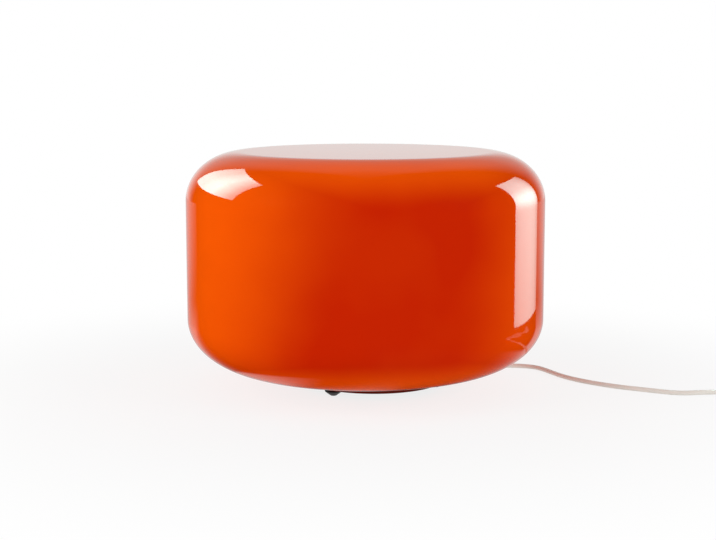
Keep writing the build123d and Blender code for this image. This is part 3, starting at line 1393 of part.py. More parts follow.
TIE_ANGLE = 200.0
TIE_W = 6.0
TIE_SIDE_GAP = 0.5
TIE_UNDER_GAP = 0.15
TIE_OVER_GAP = 0.25
TIE_ROUND = 2.0
tie_turned = math.radians(TIE_ANGLE)
TIE_OUT = Vector(math.cos(tie_turned), math.sin(tie_turned), 0)
TIE_PLANE = Plane(
    origin=(COIL_X, COIL_Y, 0), x_dir=TIE_OUT, z_dir=TIE_OUT.cross(Vector(0, 0, 1))
)
lower_outer = coil_outer_r - TURN_PITCH * TIE_ANGLE / 360
upper_inner = coil_inner_r + TURN_PITCH * (TIE_ANGLE - 180.0) / 360
tie_near = upper_inner - CORD_R - TIE_SIDE_GAP
tie_far = lower_outer + CORD_R + TIE_SIDE_GAP
tie_low = COIL_Z - CORD_R - TIE_UNDER_GAP
tie_high = COIL_Z + TURN_PITCH + CORD_R + TIE_OVER_GAP

with BuildPart() as coil_tie:
    with BuildSketch(TIE_PLANE):
        with Locations(((tie_near + tie_far) / 2, (tie_low + tie_high) / 2)):
            RectangleRounded(
                tie_far - tie_near + 2 * TIE_SHEET,
                tie_high - tie_low + 2 * TIE_SHEET,
                radius=TIE_ROUND + TIE_SHEET,
            )
            RectangleRounded(tie_far - tie_near, tie_high - tie_low, radius=TIE_ROUND, mode=Mode.SUBTRACT)
    extrude(amount=TIE_W / 2, both=True)
finish(coil_tie, "coil_tie")


# The cord's runs from the switch to the coil, and from the coil to the plug

coil_in = coil_path @ 0
coil_out = coil_path @ 1
switch_run_points = (
    (SWITCH_OUT_X, SWITCH_Y, SWITCH_CORD_Z),
    (SWITCH_OUT_X + 25.0, SWITCH_Y, SWITCH_CORD_Z),
    (499.5, -49, 4.2),
    (coil_in.X, -24, coil_in.Z),
    tuple(coil_in),
)
cord_length += cord_tube("cord_switch_run", switch_run_points)

PLUG_X = 488.5
PLUG_REAR_Y = 84.0
PLUG_THICK = 13.7
PLUG_Z = PLUG_THICK / 2
plug_run_points = (
    tuple(coil_out),
    (coil_out.X, coil_out.Y + 19.5, coil_out.Z),
    (492, 45, 7.4),
    (PLUG_X, 64.5, PLUG_Z),
    (PLUG_X, PLUG_REAR_Y, PLUG_Z),
)
cord_length += cord_tube("cord_plug_run", plug_run_points)
cord_length += coil_path.length
print("free cord in all", round(cord_length, 1), "and through the switch", SWITCH_LENGTH)


# The flat two-pin plug, lying beside the coil

PLUG_FRONT_Y = PLUG_REAR_Y + 46.0
PLUG_WIDE = 35.3
PLUG_TAIL = 12.0
PIN_SPACING = 18.6
PIN_R = 2.0
PIN_SLEEVE_R = 1.8
PIN_CORE_R = 1.5
PIN_SLEEVE_LENGTH = 10.0
PIN_LENGTH_OUT = 19.0
PIN_ROOT = 8.0
PLUG_SHOULDER = 10.0
PLUG_WAIST = 0.62
PLUG_WAIST_AHEAD = 6.0
PLUG_NECK_HALF = 5.5
PLUG_CORNER_R = 2.5
PLUG_ROUND = 2.0
TAIL_COVER = 0.9
TAIL_ROOT_R = 4.8
TAIL_OVERLAP = 1.0
PLUG_PLANE = Plane((PLUG_X, PLUG_FRONT_Y, 0))
body_length = PLUG_FRONT_Y - PLUG_REAR_Y - PLUG_TAIL

with BuildPart() as plug_body:
    with BuildSketch(PLUG_PLANE) as plug_outline:
        half = PLUG_WIDE / 2
        Polygon(
            (-half, 0),
            (-half, -PLUG_SHOULDER),
            (-half * PLUG_WAIST, -body_length + PLUG_WAIST_AHEAD),
            (-PLUG_NECK_HALF, -body_length),
            (PLUG_NECK_HALF, -body_length),
            (half * PLUG_WAIST, -body_length + PLUG_WAIST_AHEAD),
            (half, -PLUG_SHOULDER),
            (half, 0),
            align=None,
        )
        fillet(plug_outline.vertices(), radius=PLUG_CORNER_R)
    extrude(amount=PLUG_THICK)
    long_edges = plug_body.faces().filter_by(Axis.Z).edges()
    fillet(long_edges, radius=PLUG_ROUND)
    with BuildSketch(Plane(origin=(PLUG_X, PLUG_REAR_Y, PLUG_Z), z_dir=(0, 1, 0))) as tail_start:
        Circle(CORD_R + TAIL_COVER)
    tail_root = (PLUG_X, PLUG_REAR_Y + PLUG_TAIL + TAIL_OVERLAP, PLUG_Z)
    with BuildSketch(Plane(origin=tail_root, z_dir=(0, 1, 0))):
        Circle(TAIL_ROOT_R)
    loft()
    # Pockets that hold the pins' roots
    with BuildSketch(Plane(origin=(PLUG_X, PLUG_FRONT_Y, PLUG_Z), x_dir=(1, 0, 0), z_dir=(0, -1, 0))):
        with Locations((PIN_SPACING / 2, 0), (-PIN_SPACING / 2, 0)):
            Circle(PIN_SLEEVE_R + FIT_GAP)
    extrude(amount=PIN_ROOT, mode=Mode.SUBTRACT)
finish(plug_body, "plug_body")

PIN_TIP_ROUND = 1.0
PIN_SHOULDER_Y = PIN_LENGTH_OUT - PIN_TIP_ROUND
for side, pin_name in ((-1, "plug_pin_left"), (1, "plug_pin_right")):
    pin_section = Plane(
        origin=(PLUG_X + side * PIN_SPACING / 2, PLUG_FRONT_Y, PLUG_Z), x_dir=(1, 0, 0), z_dir=(0, 0, 1)
    )
    with BuildPart() as plug_pin:
        with BuildSketch(pin_section):
            with BuildLine():
                Polyline(
                    (0, -PIN_ROOT),
                    (PIN_CORE_R, -PIN_ROOT),
                    (PIN_CORE_R, PIN_SLEEVE_LENGTH),
                    (PIN_R, PIN_SLEEVE_LENGTH),
                    (PIN_R, PIN_SHOULDER_Y),
                )
                RadiusArc((PIN_R, PIN_SHOULDER_Y), (PIN_R - PIN_TIP_ROUND, PIN_LENGTH_OUT), -PIN_TIP_ROUND)
                Polyline((PIN_R - PIN_TIP_ROUND, PIN_LENGTH_OUT), (0, PIN_LENGTH_OUT), (0, -PIN_ROOT))
            make_face()
        revolve(axis=Axis(pin_section.origin, (0, 1, 0)))
    finish(plug_pin, pin_name)

with BuildPart() as pin_sleeves:
    with BuildSketch(
        Plane(origin=(PLUG_X, PLUG_FRONT_Y - PIN_ROOT, PLUG_Z), x_dir=(1, 0, 0), z_dir=(0, 1, 0))
    ):
        with Locations((PIN_SPACING / 2, 0), (-PIN_SPACING / 2, 0)):
            Circle(PIN_SLEEVE_R)
            Circle(PIN_CORE_R, mode=Mode.SUBTRACT)
    extrude(amount=PIN_ROOT + PIN_SLEEVE_LENGTH)
finish(pin_sleeves, "pin_sleeves")
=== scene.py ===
# %% [markdown]
# # A glass drum lamp
#
# The lamp is a low drum of orange-red glass, cased over opal white, that stands loose on a small
# lacquered metal base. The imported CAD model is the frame: it says where every piece is and what
# moves. This file dresses that frame, and each cell takes one piece or one finish.

# %% Load the frame
import json
import math

import bmesh
import bpy
import numpy as np
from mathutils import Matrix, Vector


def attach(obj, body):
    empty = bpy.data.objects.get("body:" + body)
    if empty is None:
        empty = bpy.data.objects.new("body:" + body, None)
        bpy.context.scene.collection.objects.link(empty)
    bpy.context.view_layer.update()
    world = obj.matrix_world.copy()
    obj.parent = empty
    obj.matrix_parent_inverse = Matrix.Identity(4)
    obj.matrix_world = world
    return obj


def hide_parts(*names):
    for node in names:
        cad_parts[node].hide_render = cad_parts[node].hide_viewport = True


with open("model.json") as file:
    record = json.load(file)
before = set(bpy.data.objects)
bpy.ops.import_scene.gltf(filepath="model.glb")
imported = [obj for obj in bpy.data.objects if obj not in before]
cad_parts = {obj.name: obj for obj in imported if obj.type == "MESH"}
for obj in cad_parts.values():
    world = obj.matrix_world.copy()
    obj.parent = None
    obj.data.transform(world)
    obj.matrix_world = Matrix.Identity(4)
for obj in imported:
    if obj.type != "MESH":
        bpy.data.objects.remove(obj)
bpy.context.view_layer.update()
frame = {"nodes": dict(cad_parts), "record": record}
MM = 0.001

# %% [markdown]
# ## The camera first
#
# The camera stands 1.7 m in front of the lamp and a little above it, and looks down by eight
# degrees. It could be aimed with a Track To constraint, but a lens that was measured is easier to
# keep as plain numbers. The small shift only puts the lamp as far right of the middle as it is in
# the picture.

# %% Camera
PICTURE_WIDTH = 716
LENS_PIXELS = 1523.26
AXIS_RIGHT_PIXELS = 7.45
SENSOR = 36.0
TILT_DOWN = 0.1404
CAMERA_SPOT = (0.0, -1.7, 0.372)
CLIP_END = 50.0

camera_data = bpy.data.cameras.new("camera")
camera_data.sensor_width = SENSOR
camera_data.lens = SENSOR * LENS_PIXELS / PICTURE_WIDTH
camera_data.shift_x = -AXIS_RIGHT_PIXELS / PICTURE_WIDTH
camera_data.clip_end = CLIP_END
camera = bpy.data.objects.new("camera", camera_data)
camera.location = CAMERA_SPOT
camera.rotation_euler = (math.pi / 2 - TILT_DOWN, 0.0, 0.0)
bpy.context.scene.collection.objects.link(camera)
bpy.context.scene.camera = camera
bpy.context.scene.view_settings.view_transform = "Standard"
print("lens", round(camera_data.lens, 2), "mm, shift", round(camera_data.shift_x, 4))

# %% [markdown]
# ## Small tools for node trees
#
# Every finish here is a node tree, so a few helpers keep them short: they add a node and set its
# inputs, join two sockets, start a material or a group, and make the five number nodes that are
# used most: a smooth ramp, a calculation, a product, a choice and a grade through several levels.

# %% Node helpers


def put(tree, kind, **values):
    """Add a node of this kind, and set its properties, or its inputs by their names."""
    node = tree.nodes.new(kind)
    for name, value in values.items():
        if hasattr(node, name):
            setattr(node, name, value)
        else:
            node.inputs[name.replace("_", " ")].default_value = value
    return node


def join(tree, out_socket, in_socket):
    """Link an output to an input."""
    tree.links.new(out_socket, in_socket)


def start_material(name):
    """A new material: returns it with its tree and its Principled shader."""
    material = bpy.data.materials.new(name)
    material.use_nodes = True
    tree = material.node_tree
    return material, tree, tree.nodes["Principled BSDF"]


def start_group(name, inputs, outputs):
    """A new shader group with these named sockets: {name: (kind, default)} and {name: kind}."""
    group = bpy.data.node_groups.new(name, "ShaderNodeTree")
    for label, (kind, default) in inputs.items():
        group.interface.new_socket(label, in_out="INPUT", socket_type=kind).default_value = default
    for label, kind in outputs.items():
        group.interface.new_socket(label, in_out="OUTPUT", socket_type=kind)
    return group, put(group, "NodeGroupInput"), put(group, "NodeGroupOutput")


def use_group(tree, group, **values):
    """Place a group in a material's tree with its own values."""
    node = tree.nodes.new("ShaderNodeGroup")
    node.node_tree = group
    for label, value in values.items():
        node.inputs[label.replace("_", " ")].default_value = value
    return node


def ramp(tree, value, low, high, to_low=0.0, to_high=1.0):
    """Map a socket smoothly from one range to another."""
    node = put(tree, "ShaderNodeMapRange", interpolation_type="SMOOTHSTEP")
    node.inputs["From Min"].default_value = low
    node.inputs["From Max"].default_value = high
    node.inputs["To Min"].default_value = to_low
    node.inputs["To Max"].default_value = to_high
    join(tree, value, node.inputs["Value"])
    return node.outputs["Result"]


def calculate(tree, operation, first, second):
    """A math node on two sockets or numbers."""
    node = put(tree, "ShaderNodeMath", operation=operation)
    for slot_number, value in enumerate((first, second)):
        if isinstance(value, (int, float)):
            node.inputs[slot_number].default_value = value
        else:
            join(tree, value, node.inputs[slot_number])
    return node.outputs[0]


def times(tree, first, second):
    """The product of two sockets or numbers."""
    return calculate(tree, "MULTIPLY", first, second)


def choose(tree, condition, if_no, if_yes):
    """One of two values by a 0 or 1 condition."""
    node = put(tree, "ShaderNodeMix")
    join(tree, condition, node.inputs[0])
    for slot_number, value in ((2, if_no), (3, if_yes)):
        if isinstance(value, (int, float)):
            node.inputs[slot_number].default_value = value
        else:
            join(tree, value, node.inputs[slot_number])
    return node.outputs[0]


def grade(tree, place, levels):
    """A brightness that follows a 0 to 1 place: levels is {place: brightness}."""
    node = put(tree, "ShaderNodeValToRGB")
    join(tree, place, node.inputs[0])
    stops = node.color_ramp.elements
    while len(stops) < len(levels):
        stops.new(0.5)
    for stop, (share, level) in zip(stops, sorted(levels.items())):
        stop.position = share
        stop.color = (level, level, level, 1)
    return node.outputs["Color"]


FLOAT, COLOUR = "NodeSocketFloat", "NodeSocketColor"

# %% [markdown]
# ## Two effects that many finishes share
#
# No real surface has one flat colour. Moulded plastic has flow marks, lacquer has a faint orange
# peel, and every part that is handled has smears. The first group lets a colour wander between two
# tones, and the second gives a smear mask for the roughness with a fine height for the bump. Both
# read Object coordinates, so the pattern stays on the piece from every side.

# %% Shared effects
SMEAR_RANGE = (0.3, 0.7)

wander, group_in, group_out = start_group(
    "tone_wander",
    {"Tone A": (COLOUR, (1, 1, 1, 1)), "Tone B": (COLOUR, (0.9, 0.9, 0.9, 1)), "Scale": (FLOAT, 20.0)},
    {"Color": COLOUR},
)
place = put(wander, "ShaderNodeTexCoord")
clouds = put(wander, "ShaderNodeTexNoise", Detail=4.0, Roughness=0.55)
blend = put(wander, "ShaderNodeMix", data_type="RGBA")
join(wander, place.outputs["Object"], clouds.inputs["Vector"])
join(wander, group_in.outputs["Scale"], clouds.inputs["Scale"])
join(wander, clouds.outputs["Fac"], blend.inputs[0])
join(wander, group_in.outputs["Tone A"], blend.inputs[6])
join(wander, group_in.outputs["Tone B"], blend.inputs[7])
join(wander, blend.outputs[2], group_out.inputs["Color"])

touch, group_in, group_out = start_group(
    "touch_and_grain",
    {"Low": (FLOAT, 0.3), "High": (FLOAT, 0.4), "Smear Scale": (FLOAT, 30.0), "Grain Scale": (FLOAT, 900.0)},
    {"Roughness": FLOAT, "Height": FLOAT},
)
place = put(touch, "ShaderNodeTexCoord")
smears = put(touch, "ShaderNodeTexNoise", Detail=5.0, Roughness=0.6, Distortion=0.8)
grains = put(touch, "ShaderNodeTexNoise", Detail=2.0)
spread = put(touch, "ShaderNodeMapRange")
join(touch, place.outputs["Object"], smears.inputs["Vector"])
join(touch, place.outputs["Object"], grains.inputs["Vector"])
join(touch, group_in.outputs["Smear Scale"], smears.inputs["Scale"])
join(touch, group_in.outputs["Grain Scale"], grains.inputs["Scale"])
spread.inputs["From Min"].default_value, spread.inputs["From Max"].default_value = SMEAR_RANGE
join(touch, smears.outputs["Fac"], spread.inputs["Value"])
join(touch, group_in.outputs["Low"], spread.inputs["To Min"])
join(touch, group_in.outputs["High"], spread.inputs["To Max"])
join(touch, spread.outputs["Result"], group_out.inputs["Roughness"])
join(touch, grains.outputs["Fac"], group_out.inputs["Height"])
print("shared groups:", wander.name, "and", touch.name)

# %% [markdown]
# ## A maker for plain finishes
#
# Plastics, rubber, sheet metal and screws differ only in their tones, gloss, metalness and grain.
# One function makes each of them from the two shared groups. Constant values go straight on the
# shader's own sockets, and only what changes over the surface is linked. The list below holds each
# finish's two tones, its lowest and highest roughness, and whatever else sets it apart.

# %% Plain finishes
BUMP_DISTANCE = 0.0004


def plain_finish(name, tone_a, tone_b, gloss, wander_scale=25.0, grain=0.02, grain_scale=900.0, **fixed):
    """A finish from two tones, a low and a high roughness, a grain height, and fixed socket values."""
    material, tree, shader = start_material(name)
    tones = use_group(tree, wander, Tone_A=(*tone_a, 1), Tone_B=(*tone_b, 1), Scale=wander_scale)
    feel = use_group(tree, touch, Low=gloss[0], High=gloss[1], Grain_Scale=grain_scale)
    bump = put(tree, "ShaderNodeBump", Strength=grain, Distance=BUMP_DISTANCE)
    join(tree, tones.outputs["Color"], shader.inputs["Base Color"])
    join(tree, feel.outputs["Roughness"], shader.inputs["Roughness"])
    join(tree, feel.outputs["Height"], bump.inputs["Height"])
    join(tree, bump.outputs["Normal"], shader.inputs["Normal"])
    for label, value in fixed.items():
        shader.inputs[label.replace("_", " ")].default_value = value
    return material


METAL = {"wander_scale": 60.0, "Metallic": 1.0}
PLAIN = {
    "seat_rubber": ((0.045, 0.042, 0.042), (0.07, 0.066, 0.064), (0.55, 0.8), {"grain": 0.25}),
    "maroon_lacquer": (
        (0.075, 0.008, 0.006), (0.095, 0.012, 0.008), (0.16, 0.3), {"grain": 0.03, "Coat_Weight": 0.5},
    ),
    "cast_iron": ((0.07, 0.068, 0.066), (0.12, 0.1, 0.09), (0.55, 0.8), {"grain": 0.5, "Metallic": 0.8}),
    "black_sheet": ((0.02, 0.02, 0.02), (0.035, 0.033, 0.032), (0.3, 0.5), {"grain": 0.1}),
    "steel_screw": ((0.55, 0.55, 0.54), (0.66, 0.66, 0.64), (0.25, 0.42), METAL),
    "foot_rubber": ((0.012, 0.01, 0.01), (0.028, 0.02, 0.018), (0.35, 0.55), {"grain": 0.15}),
    "zinc_steel": ((0.55, 0.54, 0.5), (0.68, 0.66, 0.6), (0.28, 0.45), METAL),
    "holder_plastic": ((0.74, 0.72, 0.67), (0.79, 0.77, 0.72), (0.25, 0.38), {"grain": 0.05}),
    "holder_ceramic": ((0.78, 0.76, 0.71), (0.84, 0.82, 0.78), (0.5, 0.65), {"grain": 0.2}),
    "brass_sheet": ((0.72, 0.5, 0.2), (0.8, 0.6, 0.3), (0.22, 0.4), METAL),
    "bulb_aluminium": ((0.74, 0.74, 0.73), (0.82, 0.82, 0.8), (0.2, 0.34), METAL),
    "black_glass": ((0.012, 0.012, 0.014), (0.02, 0.02, 0.022), (0.06, 0.14), {}),
    "solder": (
        (0.6, 0.6, 0.58), (0.7, 0.69, 0.66), (0.3, 0.5),
        {"wander_scale": 120.0, "grain": 0.3, "Metallic": 1.0},
    ),
    "tungsten": ((0.25, 0.24, 0.23), (0.34, 0.33, 0.31), (0.3, 0.5), {"Metallic": 1.0}),
    "block_plastic": ((0.76, 0.74, 0.69), (0.81, 0.79, 0.75), (0.35, 0.5), {"grain": 0.06}),
    "wire_sheath": ((0.16, 0.22, 0.4), (0.2, 0.26, 0.45), (0.3, 0.45), {"grain": 0.04}),
    "tie_plastic": ((0.8, 0.78, 0.74), (0.85, 0.84, 0.8), (0.3, 0.42), {"grain": 0.04}),
    "switch_plastic": ((0.76, 0.73, 0.66), (0.8, 0.77, 0.71), (0.18, 0.3), {"grain": 0.03}),
    "plug_plastic": ((0.74, 0.7, 0.64), (0.78, 0.75, 0.69), (0.35, 0.5), {"grain": 0.08}),
    "nickel_brass": ((0.7, 0.67, 0.6), (0.78, 0.75, 0.69), (0.15, 0.28), METAL),
    "pin_nylon": ((0.03, 0.03, 0.03), (0.05, 0.05, 0.05), (0.4, 0.55), {"grain": 0.05}),
    "cord_pvc": ((0.8, 0.77, 0.7), (0.86, 0.83, 0.77), (0.3, 0.45), {"wander_scale": 40.0, "grain": 0.05}),
    "opal_glass": (
        (0.82, 0.81, 0.78), (0.86, 0.85, 0.82), (0.3, 0.4), {"grain": 0.02, "Subsurface_Weight": 0.2},
    ),
    "clear_glass": ((0.9, 0.9, 0.9), (0.94, 0.94, 0.94), (0.02, 0.06), {"Transmission_Weight": 1.0}),
}
finishes = {name: plain_finish(name, *tones, **extra) for name, (*tones, extra) in PLAIN.items()}
for node_name, node in frame["nodes"].items():
    for entry in frame["record"]["subparts"]:
        if entry["node"] == node_name and entry["material_slot"] in finishes:
            node.data.materials.clear()
            node.data.materials.append(finishes[entry["material_slot"]])
print(len(finishes), "plain finishes are on the CAD nodes")

# %% [markdown]
# ## The glass colour
#
# The drum is cased: a thin skin of orange-red glass over opal white. Its colour carries painted light:
# it turns from deep red to orange where light falls, towards one side, on the far right and over the
# shoulder, and under the foot, where painted bounce light from the table stands in for real bounce,
# and it stays deep red round the middle. Each of those is a slow ramp along one axis in object space,
# the largest of them wins, and soft clouds of random tone are added. Glass is smooth, so the gloss
# hardly varies.

# %% Orange glass
DEEP_RED = (0.57, 0.017, 0.0004, 1)
ORANGE = (0.93, 0.1, 0.001, 1)
LEAN = 0.3
# Each is where the painted light starts and where it is full, then the shares it goes from and to
LEFT_PAINTED_LIGHT = (-0.05, -0.235)
RIGHT_PAINTED_LIGHT = (0.09, 0.195, 0.0, 0.65)
SHOULDER_PAINTED_LIGHT = (0.218, 0.264, 0.0, 0.95)
FOOT_PAINTED_BOUNCE = (0.064, 0.026, 0.0, 0.95)
CLOUD_RANGE = (0.3, 0.7, -0.05, 0.07)
GLASS_IOR = 1.5

orange_glass, tree, shader = start_material("orange_glass")
place = put(tree, "ShaderNodeTexCoord")
axes = put(tree, "ShaderNodeSeparateXYZ")
join(tree, place.outputs["Object"], axes.inputs[0])
leaning_x = calculate(tree, "SUBTRACT", axes.outputs["X"], times(tree, axes.outputs["Z"], LEAN))
# Painted light: orange on the lit left and right sides and shoulder, and painted bounce light under the foot
painted_left_light = ramp(tree, leaning_x, *LEFT_PAINTED_LIGHT)
painted_right_light = ramp(tree, axes.outputs["X"], *RIGHT_PAINTED_LIGHT)
painted_shoulder_light = ramp(tree, axes.outputs["Z"], *SHOULDER_PAINTED_LIGHT)
painted_foot_bounce = ramp(tree, axes.outputs["Z"], *FOOT_PAINTED_BOUNCE)
painted_side_light = calculate(tree, "MAXIMUM", painted_left_light, painted_right_light)
painted_end_light = calculate(tree, "MAXIMUM", painted_shoulder_light, painted_foot_bounce)
clouds = put(tree, "ShaderNodeTexNoise", Scale=9.0, Detail=2.0, Roughness=0.5)
join(tree, place.outputs["Object"], clouds.inputs["Vector"])
cloudy = ramp(tree, clouds.outputs["Fac"], *CLOUD_RANGE)
# Painted light and random clouds of tone together set how far the deep red turns orange
painted_light_and_clouds = calculate(tree, "ADD", calculate(tree, "MAXIMUM", painted_side_light, painted_end_light), cloudy)
tone_with_painted_light = put(tree, "ShaderNodeMix", data_type="RGBA", clamp_factor=True)
tone_with_painted_light.inputs[6].default_value = DEEP_RED
tone_with_painted_light.inputs[7].default_value = ORANGE
join(tree, painted_light_and_clouds, tone_with_painted_light.inputs[0])
join(tree, tone_with_painted_light.outputs[2], shader.inputs["Base Color"])
feel = use_group(tree, touch, Low=0.035, High=0.055, Smear_Scale=6.0)
join(tree, feel.outputs["Roughness"], shader.inputs["Roughness"])
shader.inputs["IOR"].default_value = GLASS_IOR
finishes["orange_glass"] = orange_glass
print("orange glass has", len(tree.nodes), "nodes")

# %% [markdown]
# ## Turned surfaces
#
# Most of the lamp is round, so its pieces are surfaces of revolution: a half section, given as
# radii and heights, is carried round an axis. Blender has a Screw modifier for it, but arrays are
# quicker, and they let the surface wander off true as blown glass does. The grid's doubles are
# merged afterwards, which closes the poles and the seam.

# %% Surfaces from grids
SAME_POINT = 1e-6
SHARP_DEGREES = 32.0


def surface_piece(name, points, body, materials, part_of=None):
    """A piece from a grid of points (rows, columns, 3). Columns close round, and doubles merge."""
    rows, cols = points.shape[:2]
    index = np.arange(rows * cols).reshape(rows, cols)
    index = np.hstack([index, index[:, :1]])
    quads = np.stack([index[:-1, :-1], index[:-1, 1:], index[1:, 1:], index[1:, :-1]], axis=-1)
    mesh = bpy.data.meshes.new(name)
    mesh.from_pydata(points.reshape(-1, 3).tolist(), [], quads.reshape(-1, 4).tolist())
    for material in materials:
        mesh.materials.append(material)
    if part_of is not None:
        mesh.polygons.foreach_set("material_index", np.repeat(part_of, quads.shape[1]).astype(np.int32))
    shape = bmesh.new()
    shape.from_mesh(mesh)
    bmesh.ops.remove_doubles(shape, verts=shape.verts, dist=SAME_POINT)
    bmesh.ops.recalc_face_normals(shape, faces=shape.faces)
    shape.to_mesh(mesh)
    shape.free()
    mesh.polygons.foreach_set("use_smooth", np.ones(len(mesh.polygons), dtype=bool))
    mesh.set_sharp_from_angle(angle=math.radians(SHARP_DEGREES))
    piece = bpy.data.objects.new(name, mesh)
    bpy.context.scene.collection.objects.link(piece)
    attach(piece, body)
    return piece


def carry_round(radii, heights, columns):
    """Turn a half section about an upright axis: x = r cos a, y = r sin a, and z as given."""
    angle = np.linspace(0, 2 * np.pi, columns, endpoint=False)
    ring = np.stack([np.cos(angle), np.sin(angle)], axis=-1)
    points = np.empty((len(radii), columns, 3))
    points[..., :2] = radii[:, None, None] * ring[None]
    points[..., 2] = heights[:, None]
    return points


# %% [markdown]
# ## The glass drum
#
# The half section runs from the hand hole out along the bottom, round the foot, up the wall, over
# the shoulder to the flat top, and back down the inside. The rounds are quarter ellipses. The
# outside then wanders by a tenth of a millimetre in slow waves, as glass blown into a mould does,
# so that a highlight's edge is alive and not ruled.

# %% Glass drum
GLASS_R, GLASS_LOW, GLASS_TOP, WALL = 0.2, 0.021, 0.266, 0.004
SHOULDER_W, SHOULDER_H, FOOT_W, FOOT_H = 0.062, 0.054, 0.083, 0.059
HAND_HOLE_R, LIP = 0.05, 0.0012
# Straight runs stop this far short of the rounds, along the bottom and elsewhere
BOTTOM_GAP, GAP = 0.002, 0.003
COLUMNS, LIP_POINTS, ROUND_POINTS, INNER_ROUND_POINTS = 288, 6, 48, 20
# Each wave is its share, how often it goes round, how fast it climbs, and where it starts
WAVES = ((0.45, 3, 22, 0.6), (0.35, 5, -31, 2.1), (0.2, 9, 48, 4.0))
WAVE_HEIGHT, WAVE_START_R, WAVE_FULL_R = 0.00009, 0.08, 0.16


def quarter(centre, width, height, start, end, count):
    """Points on an ellipse: r = centre + width cos t, z = centre + height sin t, for t in degrees."""
    t = np.radians(np.linspace(start, end, count))
    return np.stack([centre[0] + width * np.cos(t), centre[1] + height * np.sin(t)], axis=-1)


def run(start, end, count):
    """Evenly spaced points from one point of the half section to another."""
    return np.linspace(start, end, count)


foot_centre = (GLASS_R - FOOT_W, GLASS_LOW + FOOT_H)
shoulder_centre = (GLASS_R - SHOULDER_W, GLASS_TOP - SHOULDER_H)
lip_out = (HAND_HOLE_R + LIP, GLASS_LOW + LIP)
lip_in = (HAND_HOLE_R + LIP, GLASS_LOW + WALL - LIP)
outside = np.vstack(
    [
        quarter(lip_out, LIP, LIP, 180, 270, LIP_POINTS),
        run((HAND_HOLE_R + 2 * LIP, GLASS_LOW), (foot_centre[0] - BOTTOM_GAP, GLASS_LOW), 12),
        quarter(foot_centre, FOOT_W, FOOT_H, 270, 360, ROUND_POINTS),
        run((GLASS_R, foot_centre[1] + GAP), (GLASS_R, shoulder_centre[1] - GAP), 30),
        quarter(shoulder_centre, SHOULDER_W, SHOULDER_H, 0, 90, ROUND_POINTS),
        run((shoulder_centre[0] - GAP, GLASS_TOP), (0, GLASS_TOP), 28),
    ]
)
inner_low, inner_top = GLASS_LOW + WALL, GLASS_TOP - WALL
inside = np.vstack(
    [
        run((0, inner_top), (shoulder_centre[0] - GAP, inner_top), 8),
        quarter(shoulder_centre, SHOULDER_W - WALL, SHOULDER_H - WALL, 90, 0, INNER_ROUND_POINTS),
        quarter(foot_centre, FOOT_W - WALL, FOOT_H - WALL, 0, -90, INNER_ROUND_POINTS),
        run((foot_centre[0] - BOTTOM_GAP, inner_low), (HAND_HOLE_R + 2 * LIP, inner_low), 6),
        quarter(lip_in, LIP, LIP, 90, 180, LIP_POINTS),
        outside[:1],
    ]
)
section = np.vstack([outside, inside])
drum = carry_round(section[:, 0], section[:, 1], COLUMNS)
azimuth = np.arctan2(drum[..., 1], drum[..., 0])
radius = np.hypot(drum[..., 0], drum[..., 1])
height = drum[..., 2]
wave = sum(share * np.sin(turns * azimuth + rise * height + phase) for share, turns, rise, phase in WAVES)
on_outside = (np.arange(len(section)) < len(outside))[:, None]
wave_share = np.clip((radius - WAVE_START_R) / (WAVE_FULL_R - WAVE_START_R), 0, 1) * on_outside
swell = 1 + WAVE_HEIGHT * wave * wave_share / np.maximum(radius, SAME_POINT)
drum[..., 0] *= swell
drum[..., 1] *= swell
part_of = (np.arange(len(section) - 1) >= len(outside) - 1).astype(int)
skins = [orange_glass, finishes["opal_glass"]]
glass = surface_piece("glass_drum", drum, "glass", skins, part_of)
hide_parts("glass_diffuser")
print("glass drum:", len(glass.data.polygons), "faces, inside in opal")

# %% [markdown]
# ## The cord
#
# The flex is one length of round two-core cable. It leaves the base through a tapered bush, lies
# on the table, passes through a switch, and ends in a plug, with its spare length in a tied coil.
# A NURBS spline is the natural line for it, because a cord's own stiffness keeps it smooth, so the
# control points are few and the spline rounds them. The coil is more points of the same spline.

# %% Cord
CORD_D = 0.0052
BASE_X, CORD_AZIMUTH, CORD_HEIGHT = 9.5, 33.0, 12.6
BUSH_END, STRAIGHT_END = 108.0, 132.0
EXIT = np.array([math.cos(math.radians(CORD_AZIMUTH)), math.sin(math.radians(CORD_AZIMUTH))])


def cord_piece(name, route, nodes):
    """A round cord on a smooth spline through its control points, given in millimetres."""
    data = bpy.data.curves.new(name, "CURVE")
    data.dimensions = "3D"
    spline = data.splines.new("NURBS")
    spline.points.add(len(route) - 1)
    for point, spot in zip(spline.points, route):
        point.co = (spot[0] * MM, spot[1] * MM, spot[2] * MM, 1.0)
    spline.order_u = 3
    spline.use_endpoint_u = True
    spline.resolution_u = 12
    data.bevel_depth = CORD_D / 2
    data.bevel_resolution = 6
    data.use_fill_caps = True
    data.materials.append(finishes["cord_pvc"])
    cord = bpy.data.objects.new(name, data)
    bpy.context.scene.collection.objects.link(cord)
    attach(cord, "base")
    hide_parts(*nodes)


bush_end = (BASE_X + BUSH_END * EXIT[0], BUSH_END * EXIT[1], CORD_HEIGHT)
bush_ahead = (BASE_X + STRAIGHT_END * EXIT[0], STRAIGHT_END * EXIT[1], CORD_HEIGHT)
lamp_route = [
    bush_end, bush_ahead, (147, 85, 3.8), (177, 95, 2.6), (204, 86.5, 2.6), (217.5, 58, 2.6),
    (229, 31, 2.6), (249, 5, 2.6), (280, -22, 2.6), (318, -43, 2.6), (347, -58, 2.6),
    (371, -66, 6.0), (394, -66, 6.0),
]
cord_piece(
    "cord_to_switch", lamp_route,
    ["cord_lamp_run"],
)

# %% [markdown]
# ## The strain relief
#
# The cord leaves the base through a moulded bush that tapers down to it, so that a pull bends it
# gently, and grooves across the taper let it flex. Its half section turns about the cord's own
# exit line, which is level, so here each ring of points has one share aside and one share up.

